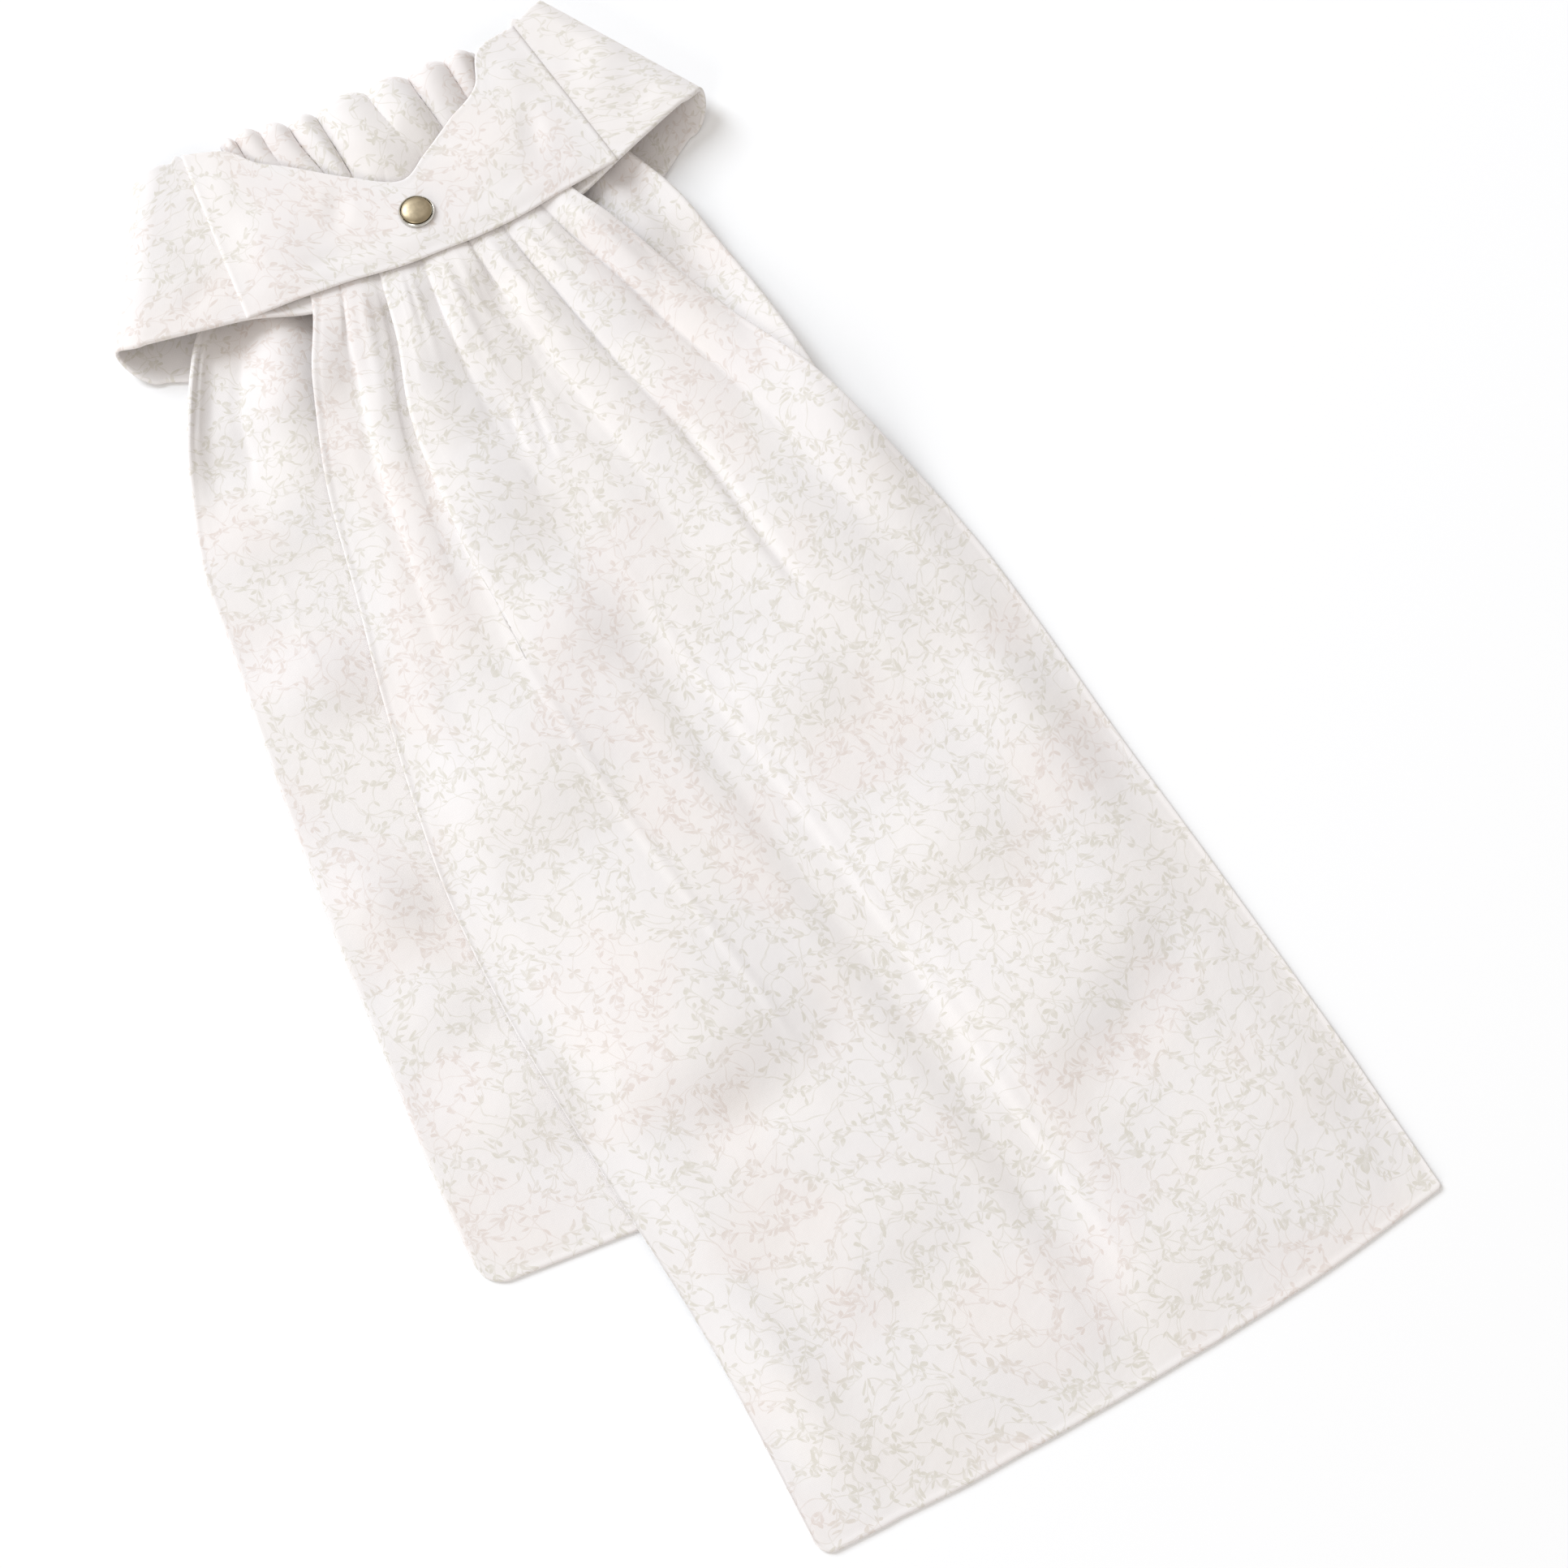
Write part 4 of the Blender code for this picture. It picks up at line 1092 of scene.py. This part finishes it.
def vine_layer():
    """Node group: one layer of thin curling stems with small leaves along them, in millimetres."""
    name = "vine_layer"
    if name in bpy.data.node_groups:
        return bpy.data.node_groups[name]
    group, nodes, given, result = new_group(
        name,
        [
            ("Vector", "NodeSocketVector", None),
            ("Spread", "NodeSocketFloat", 0.07),
            ("Leaf Spacing", "NodeSocketFloat", 4.2),
            ("Leaf Length", "NodeSocketFloat", 3.0),
        ],
        [("Stem", "NodeSocketFloat"), ("Leaf", "NodeSocketFloat")],
    )
    vector, spread = given.outputs["Vector"], given.outputs["Spread"]
    length = given.outputs["Leaf Length"]
    near = nodes.group(stem_field(), {"Vector": vector, "Spread": spread})
    stem = nodes.step(nodes.math("ABSOLUTE", near.outputs["Distance"]), *STEM_HALF_WIDTH)
    cell_scale = nodes.math("DIVIDE", 1.0, given.outputs["Leaf Spacing"])
    cells = nodes.add(
        "ShaderNodeTexVoronoi",
        {"Vector": vector, "Scale": cell_scale, "Randomness": LEAF_SCATTER},
        voronoi_dimensions="2D",
        feature="F1",
    )
    middle = cells.outputs["Position"]
    chance = nodes.add("ShaderNodeSeparateColor", {"Color": cells.outputs["Color"]})
    at_cell = nodes.group(stem_field(), {"Vector": middle, "Spread": spread})
    away = at_cell.outputs["Away"]
    cell_gap = at_cell.outputs["Distance"]
    foot = nodes.vector("SUBTRACT", middle, nodes.scaled(away, cell_gap))
    local = nodes.vector("SUBTRACT", vector, foot)
    across = nodes.vector("DOT_PRODUCT", local, away, "Value")
    away_parts = nodes.add("ShaderNodeSeparateXYZ", {"Vector": away})
    turned_x = nodes.math("MULTIPLY", away_parts.outputs["Y"], -1.0)
    turned = {"X": turned_x, "Y": away_parts.outputs["X"]}
    tangent = nodes.add("ShaderNodeCombineXYZ", turned).outputs[0]
    along = nodes.vector("DOT_PRODUCT", local, tangent, "Value")
    flip = nodes.math("SIGN", nodes.math("SUBTRACT", chance.outputs["Red"], 0.5))
    along = nodes.math("MULTIPLY", along, flip)
    side = nodes.math("SIGN", nodes.math("SUBTRACT", chance.outputs["Green"], 0.5))
    single = nodes.math("MULTIPLY", across, side)
    pair = nodes.math("ABSOLUTE", across)
    is_pair = nodes.math("GREATER_THAN", chance.outputs["Blue"], SINGLE_LEAVES)
    is_single = nodes.math("SUBTRACT", 1.0, is_pair)
    height = nodes.math(
        "ADD",
        nodes.math("MULTIPLY", pair, is_pair),
        nodes.math("MULTIPLY", single, is_single),
    )
    start = nodes.math("ADD", along, nodes.math("MULTIPLY", length, LEAF_FOOT))
    lean = math.radians(LEAF_LEAN)
    leaf_along = nodes.math(
        "ADD",
        nodes.math("MULTIPLY", start, math.cos(lean)),
        nodes.math("MULTIPLY", height, math.sin(lean)),
    )
    leaf_across = nodes.math(
        "SUBTRACT",
        nodes.math("MULTIPLY", height, math.cos(lean)),
        nodes.math("MULTIPLY", start, math.sin(lean)),
    )
    place = nodes.math("DIVIDE", leaf_along, length)
    from_middle = nodes.math("SUBTRACT", nodes.math("MULTIPLY", place, 2.0), 1.0)
    taper = nodes.math("SUBTRACT", 1.0, nodes.math("MULTIPLY", from_middle, from_middle))
    half_width = nodes.math("MULTIPLY", nodes.math("MULTIPLY", taper, length), LEAF_HALF_WIDTH)
    inside = nodes.math("SUBTRACT", half_width, nodes.math("ABSOLUTE", leaf_across))
    close = nodes.math("LESS_THAN", nodes.math("ABSOLUTE", cell_gap), LEAF_STEM_REACH)
    leaf = nodes.math("MULTIPLY", nodes.step(inside, *LEAF_EDGE), close)
    nodes.put(stem, result, "Stem")
    nodes.put(leaf, result, "Leaf")
    return group


def printed_cotton_group():
    """Node group: ivory cotton with a scattered vine print, a fine weave and faint tone changes."""
    name = "printed_cotton_cloth"
    if name in bpy.data.node_groups:
        return bpy.data.node_groups[name]
    group, nodes, given, result = new_group(
        name,
        [
            ("Vector", "NodeSocketVector", None),
            ("Ground", "NodeSocketColor", (0.86, 0.84, 0.81, 1.0)),
            ("Olive Ink", "NodeSocketColor", (0.66, 0.62, 0.54, 1.0)),
            ("Rose Ink", "NodeSocketColor", (0.72, 0.60, 0.56, 1.0)),
            ("Ink Strength", "NodeSocketFloat", 0.6),
            ("Leaf Length", "NodeSocketFloat", 3.0),
        ],
        [("Color", "NodeSocketColor"), ("Roughness", "NodeSocketFloat"), ("Height", "NodeSocketFloat")],
    )
    vector = nodes.scaled(given.outputs["Vector"], 1000.0)
    bend = nodes.vector("SUBTRACT", nodes.noise(vector, 0.11, 1.0, output="Color"), (0.5, 0.5, 0.5))
    bent = nodes.vector("ADD", vector, nodes.scaled(bend, 5.0))
    stems, leaves = None, None
    for offset, spread, spacing in PRINT_LAYERS:
        inputs = {
            "Vector": nodes.vector("ADD", bent, offset),
            "Spread": spread,
            "Leaf Spacing": spacing,
            "Leaf Length": given.outputs["Leaf Length"],
        }
        layer = nodes.group(vine_layer(), inputs)
        if stems is None:
            stems, leaves = layer.outputs["Stem"], layer.outputs["Leaf"]
        else:
            stems = nodes.math("MAXIMUM", stems, layer.outputs["Stem"])
            leaves = nodes.math("MAXIMUM", leaves, layer.outputs["Leaf"])
    ink_wear = nodes.step(nodes.noise(vector, 0.35, 2.0), 0.30, 0.62, 0.55, 1.0)
    ink = nodes.math("MAXIMUM", nodes.math("MULTIPLY", stems, STEM_INK), leaves)
    ink = nodes.math("MULTIPLY", nodes.math("MULTIPLY", ink, ink_wear), given.outputs["Ink Strength"])
    rose_place = nodes.vector("ADD", vector, (40.0, 90.0, 0.0))
    rose = nodes.step(nodes.noise(rose_place, 0.022, 1.0), 0.50, 0.66)
    ink_colour = nodes.blend(rose, given.outputs["Olive Ink"], given.outputs["Rose Ink"])
    tone = nodes.step(nodes.noise(vector, 0.028, 2.0), 0.30, 0.70)
    warm = nodes.blend(tone, (1.0, 0.994, 0.986, 1.0), (0.990, 0.992, 0.998, 1.0))
    ground = nodes.blend(1.0, given.outputs["Ground"], warm, "MULTIPLY")
    blush = nodes.math("MULTIPLY", rose, 0.35)
    blushing = nodes.blend(1.0, ground, (1.0, 0.968, 0.955, 1.0), "MULTIPLY")
    ground = nodes.blend(blush, ground, blushing)
    threads = []
    for direction in ("X", "Y"):
        wave = nodes.add(
            "ShaderNodeTexWave",
            {"Vector": vector, "Scale": 0.62, "Distortion": 0.6, "Detail": 1.0, "Detail Scale": 2.0},
            wave_type="BANDS",
            bands_direction=direction,
        )
        threads.append(wave.outputs["Fac"])
    weave = nodes.math("MULTIPLY", threads[0], threads[1])
    slub = nodes.noise(nodes.vector("MULTIPLY", vector, (0.35, 2.6, 1.0)), 1.0, 2.0)
    threads_up = nodes.math("ADD", weave, nodes.math("MULTIPLY", slub, 0.6))
    thread_shade = nodes.grey(nodes.step(threads_up, 0.1, 1.3, 0.972, 1.0))
    painted = nodes.blend(ink, ground, ink_colour)
    puckers = nodes.math("MULTIPLY", nodes.noise(vector, 0.14, 3.0), 2.4)
    height = nodes.math("ADD", nodes.math("MULTIPLY", weave, 0.30), puckers)
    nodes.put(nodes.blend(1.0, painted, thread_shade, "MULTIPLY"), result, "Color")
    nodes.put(nodes.step(slub, 0.3, 0.7, 0.74, 0.84), result, "Roughness")
    nodes.put(height, result, "Height")
    return group


def new_material(name):
    """A material, its nodes and its shader."""
    material = bpy.data.materials.new(name)
    material.use_nodes = True
    return material, Nodes(material.node_tree), material.node_tree.nodes["Principled BSDF"]


def lay_finish(nodes, shader, finish, relief, depth):
    """Link a finish's colour, roughness and height to a shader."""
    inputs = {"Height": finish.outputs["Height"], "Strength": relief, "Distance": depth}
    bumps = nodes.add("ShaderNodeBump", inputs)
    nodes.put(finish.outputs["Color"], shader, "Base Color")
    nodes.put(finish.outputs["Roughness"], shader, "Roughness")
    nodes.put(bumps.outputs["Normal"], shader, "Normal")


def printed_cotton(name, colours, sizes, offset):
    """Cotton for one piece, with its own place on the printed cloth."""
    material, nodes, shader = new_material(name)
    uv = nodes.add("ShaderNodeUVMap", uv_map="cloth").outputs[0]
    placed = nodes.add("ShaderNodeMapping", {"Vector": uv, "Location": offset}).outputs[0]
    inputs = {
        "Vector": placed,
        "Ground": tuple(colours.ivory),
        "Olive Ink": tuple(colours.olive_ink),
        "Rose Ink": tuple(colours.pink_ink),
        "Ink Strength": INK_STRENGTH,
        "Leaf Length": sizes.sprig_size * 1000.0,
    }
    lay_finish(nodes, shader, nodes.group(printed_cotton_group(), inputs), *CLOTH_RELIEF)
    shader.inputs["Specular IOR Level"].default_value = 0.25
    shader.inputs["Sheen Weight"].default_value = 0.12
    shader.inputs["Sheen Roughness"].default_value = 0.55
    return material


def brushed_metal_group():
    """Node group: metal with fine brush lines, small tone changes and a ring of painted shade at the
    cap's edge.
    """
    name = "brushed_metal"
    if name in bpy.data.node_groups:
        return bpy.data.node_groups[name]
    group, nodes, given, result = new_group(
        name,
        [
            ("Metal", "NodeSocketColor", (0.6, 0.55, 0.4, 1.0)),
            ("Tarnish", "NodeSocketFloat", 0.5),
            ("Roughness", "NodeSocketFloat", 0.3),
        ],
        [("Color", "NodeSocketColor"), ("Roughness", "NodeSocketFloat"), ("Height", "NodeSocketFloat")],
    )
    place = nodes.add("ShaderNodeTexCoord").outputs["Object"]
    from_seat = nodes.vector("SUBTRACT", place, (*SNAP_PLACE, SNAP_SEAT))
    local = nodes.scaled(from_seat, 1000.0)
    drawn = nodes.vector("MULTIPLY", local, (1.2, 14.0, 6.0))
    lines = nodes.noise(drawn, 1.4, 3.0, flat=False)
    clouds = nodes.noise(local, 0.45, 2.0, flat=False)
    level = nodes.vector("MULTIPLY", local, (1.0, 1.0, 0.0))
    radius = nodes.vector("LENGTH", level, output="Value")
    # Painted shade: the metal darkens in a ring over the cap's outer edge and the gap to the ring, where
    # the dome curves down and shade falls
    edge = nodes.step(radius, *RIM_SHADE_IN)
    rim = nodes.step(radius, *RIM_SHADE_OUT)
    rim_shade = nodes.math("MULTIPLY", nodes.math("SUBTRACT", edge, rim), given.outputs["Tarnish"])
    tone = nodes.step(clouds, 0.30, 0.70, 0.86, 1.06)
    grain = nodes.step(lines, 0.30, 0.70, 0.94, 1.03)
    shade = nodes.grey(nodes.math("MULTIPLY", tone, grain))
    clean = nodes.blend(1.0, given.outputs["Metal"], shade, "MULTIPLY")
    # Colour of that painted shade, a dark khaki multiplied in over the ring
    rim_shaded = nodes.blend(1.0, clean, (0.34, 0.30, 0.20, 1.0), "MULTIPLY")
    rough = nodes.math("ADD", given.outputs["Roughness"], nodes.step(lines, 0.3, 0.7, -0.04, 0.06))
    nodes.put(nodes.blend(rim_shade, clean, rim_shaded), result, "Color")
    nodes.put(rough, result, "Roughness")
    nodes.put(lines, result, "Height")
    return group


def brushed_metal(name, colour, finish):
    """A material of brushed metal; finish is the strength of its painted rim shade, its roughness and
    relief.
    """
    material, nodes, shader = new_material(name)
    rim_shade_strength, roughness, relief = finish
    inputs = {"Metal": colour, "Tarnish": rim_shade_strength, "Roughness": roughness}
    lay_finish(nodes, shader, nodes.group(brushed_metal_group(), inputs), relief, BRUSH_DEPTH)
    shader.inputs["Metallic"].default_value = 1.0
    return material


def finish_piece(thing, material, node):
    """Give a piece its material, and let it ride and stand for its solid."""
    thing.data.materials.append(material)
    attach(thing, "root")
    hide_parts(node)


def sew(thing, colours, sizes, offset, node):
    """Give a cloth piece its own cotton, and let it stand for its solid."""
    cotton = printed_cotton(thing.name.replace("cloth", "cotton"), colours, sizes, offset)
    finish_piece(thing, cotton, node)


def settings(context):
    """The scene's sizes and colours."""
    return context.scene.cravat_sizes, context.scene.cravat_colours


class CRAVAT_OT_tails(bpy.types.Operator):
    """Model the long front tail and the shorter tail that lies under it."""

    bl_idname = "cravat.make_tails"
    bl_label = "Tails"

    def execute(self, context):
        sizes, colours = settings(context)
        wall, softness = sizes.tail_wall, sizes.softness
        free = (False, True, True, True)
        grid = front_grid(down_rows(*FRONT_ROWS), wall, softness)
        front = shell("front_tail_cloth", grid, wall, 0, free=free)
        sew(front, colours, sizes, (0.0, 0.0, 0.0), "front_tail")
        grid = under_grid(down_rows(*UNDER_ROWS), wall, softness)
        under = shell("under_tail_cloth", grid, wall, 0, free=free, hem_from=HEM_FROM_Y)
        sew(under, colours, sizes, (0.31, 0.17, 0.0), "under_tail")
        return {"FINISHED"}


class CRAVAT_OT_ruche(bpy.types.Operator):
    """Model the gathered middle of the strip, rolled over in the notch."""

    bl_idname = "cravat.make_ruche"
    bl_label = "Gathered roll"

    def execute(self, context):
        sizes, colours = settings(context)
        grid = roll_grid(sizes.tail_wall, sizes.softness)
        free = (False, False, True, True)
        roll = shell("ruche_cloth", grid, sizes.tail_wall, 0, side=-1, free=free)
        sew(roll, colours, sizes, (0.12, 0.33, 0.0), "ruche")
        return {"FINISHED"}


class CRAVAT_OT_neckband(bpy.types.Operator):
    """Model the neckband: its two wings and the notched yoke."""

    bl_idname = "cravat.make_neckband"
    bl_label = "Neckband"

    def execute(self, context):
        sizes, colours = settings(context)
        wall = sizes.band_wall
        grid = wing_grid(LEFT_WING_FRONT, LEFT_WING_TURN, LEFT_WING_BACK, sizes.softness)
        left = shell("left_wing_cloth", grid, wall, 1, side=-1, edge_share=BAND_EDGE)
        sew(left, colours, sizes, (0.55, 0.05, 0.0), "wing_left")
        grid = wing_grid(RIGHT_WING_FRONT, RIGHT_WING_TURN, RIGHT_WING_BACK, sizes.softness)
        right = shell("right_wing_cloth", grid[::-1], wall, 1, side=-1, edge_share=BAND_EDGE)
        sew(right, colours, sizes, (0.78, 0.05, 0.0), "wing_right")
        grid = yoke_grid(sizes.softness)
        yoke = shell("yoke_cloth", grid, sizes.yoke_wall, 1, edge_share=BAND_EDGE)
        sew(yoke, colours, sizes, (0.93, 0.41, 0.0), "yoke")
        return {"FINISHED"}


def choose(thing, test):
    """In edit mode, select the faces whose middle passes a test, and nothing else."""
    bpy.ops.mesh.select_all(action="DESELECT")
    bpy.ops.object.mode_set(mode="OBJECT")
    for polygon in thing.data.polygons:
        polygon.select = test(thing.matrix_world @ polygon.center, polygon.normal)
    bpy.ops.object.mode_set(mode="EDIT")


def settle(thing, name):
    """Leave a modelled piece named, at the origin and smooth."""
    bpy.ops.object.mode_set(mode="OBJECT")
    thing.name = name
    thing.data.name = name
    bpy.ops.object.transform_apply(location=True, rotation=True, scale=True)
    bpy.ops.object.shade_smooth_by_angle(angle=math.radians(SMOOTH_ANGLE))
    thing.select_set(False)


def turned_part(name, radius, base, seat, steps):
    """Turn a part of the snap up from a short cylinder.

    steps are how far in and how far up the next ring of its top goes, from its edge inwards.
    """
    bpy.ops.object.select_all(action="DESELECT")
    bpy.ops.mesh.primitive_cylinder_add(
        vertices=SNAP_SIDES,
        radius=radius,
        depth=base,
        location=(*SNAP_PLACE, seat + base / 2.0),
    )
    thing = bpy.context.object
    bpy.ops.object.mode_set(mode="EDIT")
    top = seat + base - TOP_SLACK
    choose(thing, lambda centre, normal: centre.z > top and normal.z > FACING_UP)
    for inset, rise in steps:
        bpy.ops.mesh.inset(thickness=inset, depth=0.0)
        bpy.ops.transform.translate(value=(0.0, 0.0, rise))
    settle(thing, name)
    return thing


def dome_steps(radius):
    """Steps in and up over the cap, on a quarter of an ellipse."""
    angles = [math.pi / 2.0 * step / CAP_STEPS for step in range(CAP_STEPS + 1)]
    steps = [
        (radius * (math.cos(start) - math.cos(end)), CAP_RISE * (math.sin(end) - math.sin(start)))
        for start, end in zip(angles, angles[1:])
    ]
    inset, rise = steps[-1]
    return steps[:-1] + [(inset * CAP_LAST_STEP, rise)]


class CRAVAT_OT_snap(bpy.types.Operator):
    """Model the snap: a nickel ring around a champagne cap, set in the yoke."""

    bl_idname = "cravat.make_snap"
    bl_label = "Snap"

    def execute(self, context):
        sizes, colours = settings(context)
        radius, width = sizes.snap_radius, sizes.ring_width
        steps = [(width * share, rise) for share, rise in RING_STEPS]
        ring = turned_part("snap_ring", radius, RING_BASE, SNAP_SEAT, steps)
        nickel = brushed_metal("snap_nickel", tuple(colours.nickel), NICKEL_FINISH)
        finish_piece(ring, nickel, "snap_rim")
        radius -= width + CAP_GAP
        cap = turned_part("snap_dome", radius, CAP_BASE, SNAP_SEAT + RING_BASE, dome_steps(radius))
        champagne = brushed_metal("snap_champagne", tuple(colours.champagne), CHAMPAGNE_FINISH)
        finish_piece(cap, champagne, "snap_cap")
        return {"FINISHED"}


def stand(thing, turn, rise, distance):
    """Stand a camera or light off the cravat, in degrees round and up, and point it back."""
    turn, rise = math.radians(turn), math.radians(rise)
    away = np.array((math.cos(turn) * math.cos(rise), math.sin(turn) * math.cos(rise), math.sin(rise)))
    right = np.cross((0.0, 0.0, 1.0), away)
    right = right / np.linalg.norm(right)
    matrix = np.eye(4)
    matrix[:3, :3] = np.stack((right, np.cross(away, right), away), axis=1)
    matrix[:3, 3] = np.array(CAMERA_TARGET) + distance * away
    thing.matrix_world = Matrix(matrix.tolist())


def studio_floor(colours):
    """The pale surface that the cravat lies on."""
    bpy.ops.object.select_all(action="DESELECT")
    bpy.ops.mesh.primitive_plane_add(size=FLOOR_SIZE, location=(0.0, 0.0, FLOOR_Z))
    floor = bpy.context.object
    floor.name = "floor"
    floor.select_set(False)
    material, nodes, shader = new_material("floor_paint")
    place = nodes.add("ShaderNodeTexCoord").outputs["Object"]
    tone = nodes.step(nodes.noise(place, 3.0, 2.0, flat=False), 0.2, 0.8)
    low = tuple(FLOOR_LOW_TONE * channel for channel in colours.floor[:3]) + (1.0,)
    nodes.put(nodes.blend(tone, low, tuple(colours.floor)), shader, "Base Color")
    shader.inputs["Roughness"].default_value = 0.9
    shader.inputs["Specular IOR Level"].default_value = 0.1
    floor.data.materials.append(material)


def area_light(name, turn, rise, power, colour):
    """A square soft light, in degrees round and up from the cravat."""
    light = bpy.data.lights.new(name, "AREA")
    light.shape = "SQUARE"
    light.size = LIGHT_SIZE
    light.energy = power
    light.color = colour
    thing = bpy.data.objects.new(name, light)
    bpy.context.scene.collection.objects.link(thing)
    stand(thing, turn, rise, LIGHT_DISTANCE)


class CRAVAT_OT_stage(bpy.types.Operator):
    """Set up the pale floor, the soft lights and the camera."""

    bl_idname = "cravat.make_stage"
    bl_label = "Stage"

    def execute(self, context):
        _, colours = settings(context)
        studio_floor(colours)
        area_light("key_light", *KEY_LIGHT)
        area_light("fill_light", *FILL_LIGHT)
        world = bpy.data.worlds.new("studio_air")
        world.use_nodes = True
        background = world.node_tree.nodes["Background"]
        background.inputs["Color"].default_value = AIR_COLOUR
        background.inputs["Strength"].default_value = AIR_STRENGTH
        context.scene.world = world
        camera = bpy.data.cameras.new("camera")
        camera.sensor_fit = "HORIZONTAL"
        camera.angle = math.radians(CAMERA_FIELD)
        camera.clip_start, camera.clip_end = CAMERA_REACH
        thing = bpy.data.objects.new("camera", camera)
        context.scene.collection.objects.link(thing)
        stand(thing, CAMERA_TURN, CAMERA_RISE, CAMERA_DISTANCE)
        context.scene.camera = thing
        context.scene.view_settings.view_transform = "Standard"
        context.scene.view_settings.look = "None"
        return {"FINISHED"}


class CRAVAT_PT_panel(bpy.types.Panel):
    """Lists the cravat's sizes, colours and operators."""

    bl_idname = "CRAVAT_PT_panel"
    bl_label = "Cravat"
    bl_space_type = "VIEW_3D"
    bl_region_type = "UI"
    bl_category = "Cravat"

    def draw(self, context):
        for group in (context.scene.cravat_sizes, context.scene.cravat_colours):
            for key in group.__annotations__:
                self.layout.prop(group, key)
        for operator in OPERATORS:
            self.layout.operator(operator.bl_idname)


OPERATORS = (
    CRAVAT_OT_neckband,
    CRAVAT_OT_tails,
    CRAVAT_OT_ruche,
    CRAVAT_OT_snap,
    CRAVAT_OT_stage,
)
CLASSES = (CravatSizes, CravatColours) + OPERATORS + (CRAVAT_PT_panel,)


def register():
    """Register the classes and the scene's settings."""
    for cls in CLASSES:
        bpy.utils.register_class(cls)
    bpy.types.Scene.cravat_sizes = bpy.props.PointerProperty(type=CravatSizes)
    bpy.types.Scene.cravat_colours = bpy.props.PointerProperty(type=CravatColours)


def unregister():
    """Take the classes and the settings away again."""
    del bpy.types.Scene.cravat_colours
    del bpy.types.Scene.cravat_sizes
    for cls in reversed(CLASSES):
        bpy.utils.unregister_class(cls)


def main():
    """Make the cravat and its stage."""
    register()
    bpy.ops.cravat.make_neckband()
    bpy.ops.cravat.make_tails()
    bpy.ops.cravat.make_ruche()
    bpy.ops.cravat.make_snap()
    bpy.ops.cravat.make_stage()


if __name__ == "__main__":
    main()
